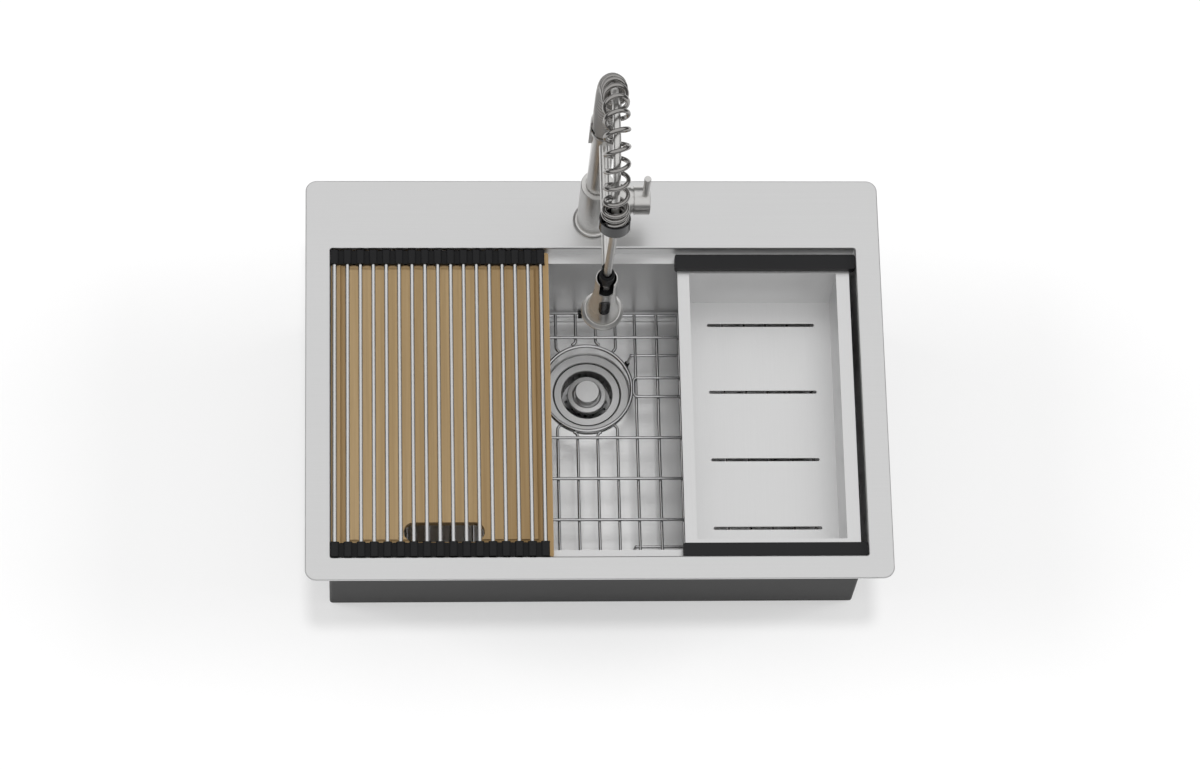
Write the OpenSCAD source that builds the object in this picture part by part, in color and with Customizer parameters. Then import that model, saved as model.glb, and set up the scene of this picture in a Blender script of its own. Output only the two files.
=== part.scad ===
// Top-mount kitchen sink with a spring-neck pull-down tap and its fitted accessories.
// Millimetres. X to the right, Y to the back, Z up. The origin is the middle of the rim,
// on the plane of the counter that the rim gasket rests on.

/* [Rim and bowl] */
// Width of the rim, side to side
rim_w = 762; // [700:1:900]
// Depth of the rim, front to back
rim_d = 558.8; // [540:0.2:620]
// Height of the rim's top above the counter
rim_h = 4; // [3:0.5:8]
// Thickness of the steel sheet
sheet_t = 1.2; // [0.8:0.1:2]
// Width of the rim beside the opening
side_rim = 33; // [25:0.5:45]
// Width of the rim in front of the opening
front_rim = 31.4; // [28:0.2:45]
// Depth of the tap deck behind the opening
deck_depth = 97.4; // [92:0.2:120]
// Drop from the rim's top to the ledge that carries the accessories
ledge_drop = 19; // [12:0.5:25]
// Width of the ledge
ledge_w = 14.5; // [10:0.5:20]
// Depth of the bowl under the rim's top
bowl_h = 228.6; // [180:0.2:260]
// Radius of the bowl's upright corners and of its floor edge
bowl_r = 2; // [2:0.5:25]

/* [Drain] */
// Y of the drain
drain_y = 62.3; // [0:0.1:100]
// Diameter of the strainer flange
flange_d = 114; // [108:1:118]
// Length of the tailpiece under its nut
tail_len = 100; // [60:1:200]

/* [Bottom grid] */
// Height of the grid's frame wire over the bowl floor
grid_z = 33.6; // [20:0.2:45]
// Diameter of the frame and ring wire
frame_wire = 5; // [4:0.5:6]
// Diameter of the cross wires
cross_wire = 4; // [3:0.5:5]
// Diameter of the ring round the drain, wire centre
ring_d = 123; // [115:1:130]

/* [Accessories] */
// Width of the cutting board
board_w = 287; // [240:1:320]
// Thickness of the cutting board
board_t = 12; // [10:0.5:12]
// Number of rods in the roll-up rack
rods = 17; // [17:1:17]
// Distance between two rods
rod_pitch = 17; // [15:0.1:18]
// Diameter of a rod
rod_d = 6; // [5:0.5:7]
// Depth of the colander tray under its flange
tray_depth = 90; // [60:1:120]
// Width of the tray over its grips
grip_len = 239.8; // [220:0.2:260]

/* [Tap] */
// Distance of the tap's axis from the rim's back edge
tap_in = 58.4; // [54:0.2:64]
// Height of the tap body over the deck
body_h = 121; // [100:1:140]
// Diameter of the tap body
body_d = 43.5; // [40:0.5:50]
// Height of the riser's top over the deck
riser_h = 296; // [280:1:320]
// Reach from the riser to the spray head
reach = 190; // [170:1:200]
// Height of the straight part's end, where the neck starts to bend, over the deck
bend_h = 375; // [360:1:400]
// Half width of the neck's arch
arch_a = 100; // [90:1:105]
// Rise of the neck's arch
arch_b = 156; // [140:1:170]
// Angle that the arch runs through
arch_end = 152; // [145:1:155]
// Outer diameter of the neck spring
coil_d = 34.5; // [32:0.5:36]
// Diameter of the spring's wire
coil_wire = 5.8; // [4:0.1:6.5]
// Diameter of the spray hose
hose_d = 10; // [9:0.5:11]
// Height of the handle's axis over the deck
handle_h = 70; // [60:1:80]

/* [Part to draw] */
// Name of one node, or all

/* [Hidden] */
$fn = 64;
gap = 0.3;              // between seated pieces that come apart
run = 0.05;             // radial clearance of a shaft in its bore
deck = rim_h;           // top of the rim
floor_z = deck - bowl_h;
ledge_z = deck - ledge_drop;
open_w = rim_w - 2 * side_rim;
open_front = front_rim - rim_d / 2;
open_back = rim_d / 2 - deck_depth;
open_d = open_back - open_front;
tap_y = rim_d / 2 - tap_in;
open_y = (open_back + open_front) / 2;
bowl_d = open_d - 2 * ledge_w;
open_r = 2.5;
edge_r = 2.4;           // bend of the sheet at the opening
lip_r = 2;              // bend of the sheet at the rim's outer edge
rim_r = 15;
gasket_t = 1.5;

hole_r = 44.9;          // drain hole
seat_r = 58.2;          // pressed seat of the strainer flange
seat_t = 6;
cup_r = 43.4;
basket_r = 44.4;

weld = 0.05;            // depth that one wire sinks into another
grid_x = -2.5;
grid_y = drain_y - 6.6;
grid_hw = open_w / 2 - 13.5;
grid_front = open_front + ledge_w + 4.5;
grid_back = open_back - ledge_w - 4;
frame_z = floor_z + grid_z;
y_wire_z = frame_z + (frame_wire + cross_wire) / 2 - weld;
x_wire_z = y_wire_z + cross_wire - weld;
leg_z = y_wire_z - cross_wire + weld;
first_gap = 13.5;       // offset of the innermost wires from the ring's centre
wire_x0 = 67.2;         // offset of the first wire beside the ring
wire_pitch = (grid_hw - wire_x0) / 9;
ring_r = ring_d / 2;
foot_h = 9;

board_d = open_d - 6;
board_x = 1 - open_w / 2 + board_w / 2;
board_y = open_y - 1;
board_z = ledge_z + gap;
board_top = board_z + board_t;
rack_z = board_top + 0.1;
strip_h = 7.6;
rod_z = rack_z + 0.45 + rod_d / 2;
rod_x0 = 5.4 - open_w / 2;
strip_back = [open_back - 22.2, open_back - 2.5];
strip_front = [open_front + 0.4, open_front + 20.5];

grip_x = open_w / 2 - 0.2 - grip_len;
grip_h = 11.7;
grip_back = [open_back - 26.5, open_back - 6.2];
grip_front = [open_front + 1.2, open_front + 20];
grip_z = ledge_z + gap;
tray_x = [grip_x + 19, grip_x + grip_len - 25];
tray_y = [grip_front[1] + 7.7, grip_back[0] - 3.3];
tray_lean = 5.6;
tray_z = deck - 16;
flange_x = [grip_x + 3.5, grip_x + grip_len - 7.6];

swivel_depth = 30;
riser_d = 30;
riser_top = deck + riser_h;
bend_z = deck + bend_h;
head_y = tap_y - reach;
arm_z = deck + 274;
head_low = deck + 150;
ring_low = head_low;
coil_r = (coil_d - coil_wire) / 2;
handle_z = deck + handle_h;
pivot_x = 46;           // centre of the handle's tilt
barrel_r = 19;
dome_r = 17.5;
tilt_gap = 3.9;
handle_end = 71;
stick_x = 64.5;

steel = [0.78, 0.78, 0.79];
dark = [0.12, 0.12, 0.13];
grey = [0.35, 0.35, 0.36];
wood = [0.65, 0.53, 0.42];
brass = [0.78, 0.62, 0.32];

// Shared shapes

// Rounded rectangle in the plane, centred
module round_rect(w, d, r) {
  square([w - 2 * r, d], center = true);
  square([w, d - 2 * r], center = true);
  for (x = [-1, 1], y = [-1, 1])
    translate([x * (w / 2 - r), y * (d / 2 - r)]) circle(r);
}

// Carries a profile (x outward from the corner centre, y up) round a rounded rectangle
module around(w, d, r) {
  hw = w / 2 - r;
  hd = d / 2 - r;
  for (s = [0, 1]) rotate([0, 0, 180 * s]) {
    translate([hw, hd, 0]) rotate([90, 0, 0]) linear_extrude(2 * hd) children();
    translate([-hw, hd, 0]) rotate([0, 0, 90]) rotate([90, 0, 0])
      linear_extrude(2 * hw) children();
    translate([hw, hd, 0]) rotate_extrude(angle = 90) children();
    translate([-hw, hd, 0]) rotate([0, 0, 90]) rotate_extrude(angle = 90) children();
  }
}

// Round bar between two points
module bar(p, q, d) {
  v = q - p;
  l = norm(v);
  translate(p) rotate([0, acos(v[2] / l), atan2(v[1], v[0])]) cylinder(d = d, h = l);
}

module ring(r_out, r_in, h) {
  difference() {
    cylinder(r = r_out, h = h);
    translate([0, 0, -1]) cylinder(r = r_in, h = h + 2);
  }
}

// Revolved polygon of [r, z] points
module turned(points) {
  rotate_extrude() polygon(points);
}

// Slot with round ends along X, cut down from z = 0
module slot(l, w, h) {
  translate([-(l - w) / 2, -w / 2, -h]) cube([l - w, w, h]);
  for (s = [-1, 1]) translate([s * (l - w) / 2, 0, -h]) cylinder(d = w, h = h);
}

// Bowl, rim and what fixes them

// Quarter ring of sheet: 0 upper left, 1 upper right, 2 lower right
module quarter(r_out, r_in, q) {
  intersection() {
    difference() {
      circle(r_out);
      circle(r_in);
    }
    if (q == 0) translate([-r_out, 0]) square(r_out);
    if (q == 1) square(r_out);
    if (q == 2) translate([0, -r_out]) square(r_out);
  }
}

// Bowl wall and floor edge, x from the corner centre
module bowl_profile() {
  translate([0, floor_z + bowl_r]) quarter(bowl_r + sheet_t, bowl_r, 2);
  translate([bowl_r, floor_z + bowl_r])
    square([sheet_t, ledge_z - floor_z - bowl_r]);
}

// Wall above the ledge, with the bend into the deck
module throat_profile() {
  translate([open_r, ledge_z - sheet_t])
    square([sheet_t, deck - edge_r - ledge_z + sheet_t]);
  translate([open_r + edge_r, deck - edge_r]) quarter(edge_r, edge_r - sheet_t, 0);
}

// Folded lip at the rim's outer edge
module lip_profile() {
  translate([rim_r - lip_r, deck - lip_r]) quarter(lip_r, lip_r - sheet_t, 1);
  translate([rim_r - sheet_t, gasket_t]) square([sheet_t, deck - lip_r - gasket_t]);
}

module deck_plate() {
  translate([0, 0, deck - sheet_t]) linear_extrude(sheet_t) difference() {
    round_rect(rim_w - 2 * lip_r, rim_d - 2 * lip_r, rim_r - lip_r);
    translate([0, open_y])
      round_rect(open_w + 2 * edge_r, open_d + 2 * edge_r, open_r + edge_r);
    translate([0, tap_y]) circle(r = 17.5);
  }
}

module ledge_plate() {
  translate([0, open_y, ledge_z - sheet_t]) linear_extrude(sheet_t) difference() {
    round_rect(open_w + 2 * sheet_t, open_d + 2 * sheet_t, open_r + sheet_t);
    round_rect(open_w, bowl_d, bowl_r);
  }
}

module floor_plate() {
  translate([0, open_y, floor_z - sheet_t]) linear_extrude(sheet_t) difference() {
    square([open_w - 2 * bowl_r, bowl_d - 2 * bowl_r], center = true);
    translate([0, drain_y - open_y]) circle(r = seat_r + 2);
  }
}

// Pressed seat in the floor for the strainer flange
module drain_seat() {
  translate([0, drain_y, floor_z]) turned([
    [seat_r + 3, 0], [seat_r + 1.4, 0], [seat_r, -1.4], [seat_r, 1 - seat_t],
    [seat_r - 1, -seat_t], [hole_r, -seat_t], [hole_r, -seat_t - sheet_t],
    [seat_r - 0.2, -seat_t - sheet_t], [seat_r + sheet_t, 0.2 - seat_t],
    [seat_r + sheet_t, -2], [seat_r + 2, -sheet_t], [seat_r + 3, -sheet_t]]);
}

module sink_shell() {
  color(steel) union() {
    deck_plate();
    around(rim_w, rim_d, rim_r) lip_profile();
    translate([0, open_y, 0]) around(open_w, open_d, open_r) throat_profile();
    ledge_plate();
    translate([0, open_y, 0]) around(open_w, bowl_d, bowl_r) bowl_profile();
    floor_plate();
    drain_seat();
  }
}

// Sound-deadening coat on the outside of the bowl
module sound_coating() {
  t = 1;
  low = floor_z + bowl_r;
  top = ledge_z - sheet_t - 1;
  color(grey) union() {
    translate([0, open_y, 0]) around(open_w, bowl_d, bowl_r) union() {
      translate([0, low]) quarter(bowl_r + sheet_t + t, bowl_r + sheet_t, 2);
      translate([bowl_r + sheet_t, low]) square([t, top - low]);
    }
    translate([0, open_y, floor_z - sheet_t - t]) linear_extrude(t) difference() {
      square([open_w - 2 * bowl_r, bowl_d - 2 * bowl_r], center = true);
      translate([0, drain_y - open_y]) circle(r = seat_r + 4);
    }
  }
}

module rim_gasket() {
  inner = rim_r - 8.5;
  color(dark) around(rim_w, rim_d, rim_r) union() {
    translate([inner, 0]) square([rim_r - 0.4 - inner, gasket_t]);
    translate([inner, 0]) square([rim_r - lip_r - inner, deck - sheet_t]);
  }
}

rail_w = 12;
rail_h = 10.8;
rail_slot = 5;
rail_front = open_front - 9;
rail_back = rim_d / 2 - 21.4;
rail_side = open_w / 2 + 9;

// Channel, open side down, along X and centred
module rail(l) {
  translate([-l / 2, 0, deck - sheet_t - rail_h]) difference() {
    translate([0, -rail_w / 2, 0]) cube([l, rail_w, rail_h]);
    translate([-1, -rail_w / 2 + sheet_t, sheet_t])
      cube([l + 2, rail_w - 2 * sheet_t, rail_h - 2 * sheet_t]);
    translate([-1, -rail_slot / 2, -1]) cube([l + 2, rail_slot, sheet_t + 2]);
  }
}

module fixing_rails() {
  color(steel) union() {
    translate([0, rail_front, 0]) rail(open_w - 36);
    translate([0, rail_back, 0]) rail(open_w - 36);
    for (s = [-1, 1]) translate([s * rail_side, open_y + 33, 0]) rotate([0, 0, 90])
      rail(open_d - 10);
  }
}

// [x, y, turn] of each clip; as delivered, its hook lies along the rail, at turn 0 to +X
clips = concat(
  [for (i = [-1:1]) [i * (open_w - 72) / 2, rail_front, 0]],
  [for (i = [-1:1]) [i * (open_w - 196) / 2, rail_back, 180]],
  [for (s = [-1, 1]) [s * rail_side, open_y + 13, s * 90]]);
clip_w = 12.8;
clip_low = -38;

module clip() {
  translate([-clip_w / 2, -4, deck - rail_h]) cube([clip_w, 8, 2]);
  translate([0, 0, clip_low + 1]) cylinder(d = rail_slot - 0.4, h = deck - rail_h - clip_low);
  difference() {
    translate([-4, -clip_w / 2, clip_low]) cube([24, clip_w, 2.5]);
    translate([13, 0, clip_low - 1]) cylinder(r = 2.5, h = 5);
  }
}

module mounting_clips() {
  color(grey) for (c = clips) translate([c[0], c[1], 0]) rotate([0, 0, c[2]]) clip();
}

module clip_screws() {
  color(steel) for (c = clips) translate([c[0], c[1], 0]) rotate([0, 0, c[2]])
    translate([13, 0, clip_low - 14]) union() {
      cylinder(r = 2.5, h = 19);
      translate([0, 0, 19]) cylinder(r = 4.5, h = 2);
      cylinder(r = 4, h = 4, $fn = 6);
    }
}

// Drain

module at_drain() {
  translate([0, drain_y, floor_z]) children();
}

outlet_low = -84;
nut_z = -seat_t - sheet_t;

module drain_flange() {
  color(steel) at_drain() turned([
    [flange_d / 2, -seat_t], [flange_d / 2, -1.2], [flange_d / 2 - 0.8, -0.5],
    [basket_r + 2.6, -1.4], [basket_r + 1.4, -2.6], [basket_r + 1.4, -4.9], [42, -4.9],
    [42, -50], [20, -56],
    [20, outlet_low], [22.5, outlet_low], [22.5, -57.5], [cup_r, -51.5],
    [cup_r, -seat_t]]);
}

module drain_gasket() {
  color(dark) at_drain() translate([0, 0, nut_z - 3]) ring(54, cup_r + 0.2, 3);
}

module fibre_washer() {
  color(wood) at_drain() translate([0, 0, nut_z - 4]) ring(53, cup_r + 0.2, 1);
}

module drain_locknut() {
  color(brass) at_drain() translate([0, 0, nut_z - 12]) union() {
    ring(51, cup_r + run, 8);
    for (i = [0:5]) rotate([0, 0, 60 * i]) translate([50.5, -4, 0]) cube([4.5, 8, 8]);
  }
}

module tailpiece_washer() {
  color(dark) at_drain() translate([0, 0, outlet_low - 2]) ring(22.3, 17.8, 2);
}

module tailpiece() {
  color(steel) at_drain() translate([0, 0, outlet_low - 4]) turned([
    [17.8, 2], [22.3, 2], [22.3, 0], [18.8, 0], [18.8, -5], [19, -5], [19, -tail_len],
    [17.8, -tail_len]]);
}

module slip_nut() {
  color(steel) at_drain() translate([0, 0, outlet_low - 7]) difference() {
    union() {
      cylinder(r = 27, h = 20, $fn = 8);
      cylinder(r = 28, h = 3);
    }
    translate([0, 0, -1]) cylinder(r = 19 + run, h = 10);
    translate([0, 0, 3]) cylinder(r = 22.5, h = 20);
  }
}

rim_low = -3.9;          // underside of the basket's rim

module strainer_basket() {
  color(steel) at_drain() difference() {
    turned([[basket_r, rim_low], [basket_r, rim_low + 0.8], [35.4, rim_low + 0.8],
      [34.4, rim_low - 0.2], [33, -32], [12, -34], [8, -30], [8, -24], [3.1, -24],
      [3.1, -31], [7, -35.2], [34.2, -33.2], [35.6, rim_low]]);
    for (i = [0:15]) rotate([0, 0, 22.5 * i]) translate([27, 0, -36]) cylinder(r = 2, h = 6);
    for (i = [0:11]) rotate([0, 0, 30 * i]) translate([20, 0, -36]) cylinder(r = 2, h = 6);
    for (i = [0:23]) rotate([0, 0, 15 * i]) translate([30, -1.2, -26]) cube([6, 2.4, 14]);
  }
}

module basket_seal() {
  color(dark) at_drain() translate([0, 0, rim_low - 0.7]) ring(basket_r + 1.3, 42.4, 0.7);
}

module stopper_knob() {
  color(steel) at_drain() turned([
    [0, -36], [3.05, -36], [3.05, -14], [25, -13], [26.5, -11], [26.5, -4.6], [25.6, -3.4],
    [20, -2.6], [18.6, -3.4], [17.6, -7], [15.2, -7], [15.2, 4], [16.7, 6.2], [16.7, 8.2],
    [15.6, 9.3], [0, 9.6]]);
}

module stopper_seal() {
  color(dark) at_drain() translate([0, 0, -17]) ring(22, 3.1, 3);
}

// Bottom grid

// Bent leg: along X under the wires, then down and forward to its foot
leg_x = [62, grid_hw - 24.5];
leg_rows = [[grid_back - 58.8, grid_back - 61.8], [grid_front + 58.9, grid_front + 56]];

// End of a wire beside the ring: x offset, side of its bend (-1 to the left), back or front
module ring_end(x, bend, way) {
  r = 7;
  bead = cross_wire + 0.3;
  a = abs(x) > 2 * first_gap ? 55 : 65;
  cx = x + bend * r;
  ex = cx - bend * r * cos(a);
  ey = sqrt(pow(ring_r + (frame_wire + bead) / 2 - weld, 2) - ex * ex);
  cy = ey + r * sin(a);
  stop = way > 0 ? grid_back - grid_y : grid_y - grid_front;
  translate([grid_x, grid_y, y_wire_z]) mirror([0, way > 0 ? 0 : 1, 0]) {
    translate([x, cy, 0]) rotate([-90, 0, 0]) cylinder(d = cross_wire, h = stop - cy);
    translate([cx, cy, 0]) mirror([bend > 0 ? 0 : 1, 0, 0]) rotate([0, 0, 180])
      rotate_extrude(angle = a) translate([r, 0]) circle(d = cross_wire);
    translate([ex, ey, 0]) sphere(d = bead);
  }
}

// Two cross wires joined by a rounded end beside the ring
module side_loop(s) {
  r = 6;
  x0 = ring_r + sqrt(pow((frame_wire + cross_wire) / 2 - weld, 2) - pow(x_wire_z - y_wire_z, 2));
  translate([grid_x, grid_y, x_wire_z]) mirror([s > 0 ? 0 : 1, 0, 0]) {
    for (q = [-1, 1]) mirror([0, q > 0 ? 0 : 1, 0]) {
      translate([x0 + r, first_gap, 0]) rotate([0, 90, 0])
        cylinder(d = cross_wire, h = grid_hw - x0 - r);
      translate([x0 + r, first_gap - r, 0]) rotate([0, 0, 90])
        rotate_extrude(angle = 90) translate([r, 0]) circle(d = cross_wire);
    }
    translate([x0, -(first_gap - r), 0]) rotate([-90, 0, 0])
      cylinder(d = cross_wire, h = 2 * (first_gap - r));
  }
}

function foot_at(s, i, row) = [
  grid_x + s * (leg_x[i] + (i == 0 ? -6 : 6)), row[1], floor_z + 3];

module legs() {
  for (s = [-1, 1], row = leg_rows) {
    a = [grid_x + s * leg_x[0], row[0], leg_z];
    b = [grid_x + s * leg_x[1], row[0], leg_z];
    bar(a, b, cross_wire);
    bar(a, foot_at(s, 0, row), cross_wire);
    bar(b, foot_at(s, 1, row), cross_wire);
    translate(a) sphere(d = cross_wire + 0.8);
    translate(b) sphere(d = cross_wire + 0.8);
  }
}

// Outer frame wire, and the ring round the drain
module grid_frame() {
  color(steel) union() {
    translate([grid_x, (grid_back + grid_front) / 2, frame_z])
      around(2 * grid_hw, grid_back - grid_front, 25) translate([25, 0]) circle(d = frame_wire);
    translate([grid_x, grid_y, y_wire_z]) rotate_extrude()
      translate([ring_r, 0]) circle(d = frame_wire);
  }
}

// Wires along Y, on the frame
module grid_wires() {
  color(steel) union() {
    for (k = [0:8], s = [-1, 1])
      translate([grid_x + s * (wire_x0 + wire_pitch * k), grid_back, y_wire_z])
        rotate([90, 0, 0]) cylinder(d = cross_wire, h = grid_back - grid_front);
    for (way = [-1, 1], s = [-1, 1]) {
      ring_end(s * first_gap, s, way);
      ring_end(s * 3 * first_gap, -s, way);
    }
  }
}

// Wires along X, on the others, and the legs under them
module grid_cross_wires() {
  color(steel) union() {
    for (y = [grid_y + 72.7, grid_y - 72.7, grid_y - 131.2, grid_y - 189.7])
      translate([grid_x - grid_hw, y, x_wire_z]) rotate([0, 90, 0])
        cylinder(d = cross_wire, h = 2 * grid_hw);
    side_loop(1);
    side_loop(-1);
    legs();
  }
}

module grid_feet() {
  color(dark) for (s = [-1, 1], row = leg_rows, i = [0, 1]) {
    f = foot_at(s, i, row);
    p = [grid_x + s * leg_x[i], row[0], leg_z];
    u = (p - f) / norm(p - f);
    difference() {
      union() {
        bar(f - 0.2 * u, f + foot_h * u, cross_wire + 3);
        translate(f) sphere(d = 5.4);
      }
      bar(f, f + (foot_h + 2) * u, cross_wire);
    }
  }
}

bumpers = concat(
  [for (s = [-1, 1], x = [0.02, 0.75]) [grid_x + s * x * grid_hw, grid_back, 90]],
  [for (s = [-1, 1]) [grid_x + s * 0.6 * grid_hw, grid_front, 90]]);

module grid_bumpers() {
  color(dark) for (b = bumpers)
    translate([b[0] - 2.5, b[1], frame_z]) rotate([0, 90, 0])
      ring(frame_wire / 2 + 1.2, frame_wire / 2 + run, 5);
}

// Cutting board and roll-up rack

groove_in = 15.7;
groove_w = 8;

module cutting_board() {
  gx = board_w - 2 * groove_in;
  gy0 = -board_d / 2 + groove_in + 4;
  gy1 = board_d / 2 - groove_in - 4;
  color(wood) translate([board_x, board_y, board_z]) difference() {
    linear_extrude(board_t) round_rect(board_w, board_d, 3);
    for (s = [-1, 1]) translate([s * gx / 2, gy0, board_t]) rotate([-90, 0, 0])
      cylinder(d = groove_w, h = gy1 - gy0);
    for (y = [gy0, gy1]) translate([-gx / 2, y, board_t]) rotate([0, 90, 0])
      cylinder(d = groove_w, h = gx);
    for (s = [-1, 1], y = [gy0, gy1]) translate([s * gx / 2, y, board_t])
      sphere(d = groove_w);
    translate([2.2, 34.1 - board_d / 2, board_t + 1])
      slot(105, 25.6, board_t + 2);
  }
}

module strip_profile() {
  intersection() {
    for (i = [0:rods - 1]) translate([rod_x0 + i * rod_pitch, rod_z]) circle(r = 5.2);
    translate([rod_x0 - 10, rack_z]) square([rods * rod_pitch + 10, strip_h]);
  }
  translate([rod_x0, rack_z]) square([(rods - 1) * rod_pitch, 3.6]);
}

module strip(span) {
  color(dark) difference() {
    intersection() {
      translate([0, span[1], 0]) rotate([90, 0, 0]) linear_extrude(span[1] - span[0])
        strip_profile();
      translate([0, open_y, rack_z - 1]) linear_extrude(strip_h + 2)
        round_rect(open_w - 0.4, open_d - 0.4, 4);
    }
    for (i = [0:rods - 1])
      translate([rod_x0 + i * rod_pitch, rod_ends[0], rod_z]) rotate([-90, 0, 0])
        cylinder(d = rod_d, h = rod_ends[1] - rod_ends[0]);
  }
}

rod_ends = [strip_front[0] + 5, strip_back[1] - 5];

module rack_strip_back() strip(strip_back);

module rack_strip_front() strip(strip_front);

// Rods of one link of the rack
module link_rods(link) {
  color(steel) for (i = [2 * link:min(2 * link + 1, rods - 1)])
    translate([rod_x0 + i * rod_pitch, rod_ends[0], rod_z]) rotate([-90, 0, 0])
      cylinder(d = rod_d, h = rod_ends[1] - rod_ends[0]);
}

module rack_rods_1() link_rods(0);

module rack_rods_2() link_rods(1);

module rack_rods_3() link_rods(2);

module rack_rods_4() link_rods(3);

module rack_rods_5() link_rods(4);

module rack_rods_6() link_rods(5);

module rack_rods_7() link_rods(6);

module rack_rods_8() link_rods(7);

module rack_rods_9() link_rods(8);

// Colander tray

// Side view of the tray's hollow, grown by t
module tray_section(t, up) {
  polygon([[tray_y[0] - t, tray_z + up], [tray_y[1] + t, tray_z + up],
    [tray_y[1] + t - tray_lean, tray_z - tray_depth - t],
    [tray_y[0] - t + tray_lean, tray_z - tray_depth - t]]);
}

module tray_block(t, up) {
  translate([tray_x[0] - t, 0, 0]) rotate([90, 0, 90])
    linear_extrude(tray_x[1] - tray_x[0] + 2 * t) tray_section(t, up);
}

slot_end = [tray_y[1] - 38.5, tray_y[0] + 45.8];
tray_slots = [for (i = [0:3]) slot_end[0] + i * (slot_end[1] - slot_end[0]) / 3];

module tray_flange() {
  y0 = grip_front[0] + 6;
  y1 = grip_back[1] - 6;
  translate([flange_x[0], y0, tray_z - sheet_t])
    cube([flange_x[1] - flange_x[0], y1 - y0, sheet_t]);
}

module colander_tray() {
  color(steel) difference() {
    union() {
      tray_block(sheet_t, -0.4);
      tray_flange();
      for (x = [flange_x[0], flange_x[1] - sheet_t])
        translate([x, grip_front[1] + 0.2, tray_z - 6])
          cube([sheet_t, grip_back[0] - grip_front[1] - 0.4, 6]);
    }
    tray_block(0, 5);
    for (y = tray_slots)
      translate([(tray_x[0] + tray_x[1]) / 2 + 3.8, y, tray_z - tray_depth + 1])
        slot(144.5, 4.4, 4);
  }
}

module grip(span) {
  difference() {
    translate([grip_x, span[0], grip_z]) linear_extrude(grip_h)
      translate([grip_len / 2, (span[1] - span[0]) / 2])
        round_rect(grip_len, span[1] - span[0], 3);
    tray_flange();
  }
}

module tray_grips() {
  color(dark) union() {
    grip(grip_back);
    grip(grip_front);
  }
}

// Fixed pieces of the tap

module at_tap(z) {
  translate([0, tap_y, z]) children();
}

module base_flange() {
  r = body_d / 2 + run;
  color(steel) at_tap(deck) turned([
    [r, 0], [27, 0], [27, 2.2], [26.6, 4], [25.6, 5.6], [24.2, 6.9], [23, 7.5], [r, 7.5]]);
}

shank_r = 16.5;
branch_end = pivot_x;
shank_low = -62;
inlet_x = 10;

module tap_body() {
  r = body_d / 2;
  color(steel) difference() {
    union() {
      at_tap(deck) turned([[0, 0], [r, 0], [r, body_h - 0.8], [r - 0.8, body_h], [0, body_h]]);
      translate([15, tap_y, handle_z]) rotate([0, 90, 0])
        cylinder(r = barrel_r, h = branch_end - 15);
    }
    at_tap(deck + body_h - swivel_depth) cylinder(r = riser_d / 2 + run, h = swivel_depth + 1);
    at_tap(deck + body_h - 2.5) cylinder(r = riser_d / 2 + 1.5, h = 4);
    at_tap(deck - 1) cylinder(r = 6, h = body_h - swivel_depth + 2);
    translate([18, tap_y, handle_z]) rotate([0, 90, 0]) cylinder(r = 16, h = 40);
  }
}

module deck_washer() {
  color(dark) at_tap(deck - sheet_t - 3) ring(28, shank_r + 0.3, 3);
}

module mounting_nut() {
  color(brass) at_tap(deck - sheet_t - 12) difference() {
    union() {
      translate([0, 0, 6]) cylinder(r = 27, h = 3);
      cylinder(r = 24, h = 6.5, $fn = 6);
    }
    translate([0, 0, -1]) cylinder(r = shank_r + run, h = 14);
  }
}

module shank() {
  color(brass) at_tap(shank_low) difference() {
    cylinder(r = shank_r, h = deck - shank_low);
    for (s = [-1, 1]) translate([s * inlet_x, 0, -1]) cylinder(r = 5, h = 21);
    translate([0, 0, 30]) cylinder(r = 6, h = 60);
    for (s = [-1, 1]) translate([s * inlet_x, 0, 19]) cylinder(r = 4, h = 12);
    translate([-inlet_x, -4, 28]) cube([2 * inlet_x, 8, 4]);
  }
}

module water_inlets() {
  color(steel) for (s = [-1, 1]) at_tap(shank_low - 34) translate([s * inlet_x, 0, 0])
    difference() {
      union() {
        cylinder(r = 5, h = 54);
        cylinder(r = 6.4, h = 12);
      }
      translate([0, 0, -1]) cylinder(r = 3.6, h = 60);
    }
}

module cartridge() {
  color(dark) translate([18, tap_y, handle_z]) rotate([0, 90, 0]) union() {
    cylinder(r = 15.8, h = 16);
    cylinder(r = 11, h = 20);
  }
}

module cartridge_nut() {
  color(brass) translate([34, tap_y, handle_z]) rotate([0, 90, 0]) ring(15.9, 11.2, 5);
}

// Ball-shaped cover that the handle tilts over, with a skirt inside the body's branch
module handle_dome() {
  color(steel) translate([pivot_x, tap_y, handle_z]) rotate([0, 90, 0]) rotate_extrude() union() {
    intersection() {
      difference() {
        circle(r = dome_r);
        circle(r = dome_r - 2.5);
      }
      translate([8.2, 0]) square([dome_r, dome_r]);
    }
    translate([14.3, -6.5]) square([1.6, 7]);
  }
}

// Handle

module handle_hub() {
  color(brass) translate([0, tap_y, handle_z]) union() {
    translate([38.3, 0, 0]) rotate([0, 90, 0]) cylinder(r = 8, h = 3.4);
    translate([41, 0, 0]) rotate([0, 90, 0]) cylinder(r = 3.4, h = pivot_x - 41);
    translate([pivot_x, 0, 0]) sphere(r = 3.4);
  }
}

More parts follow.
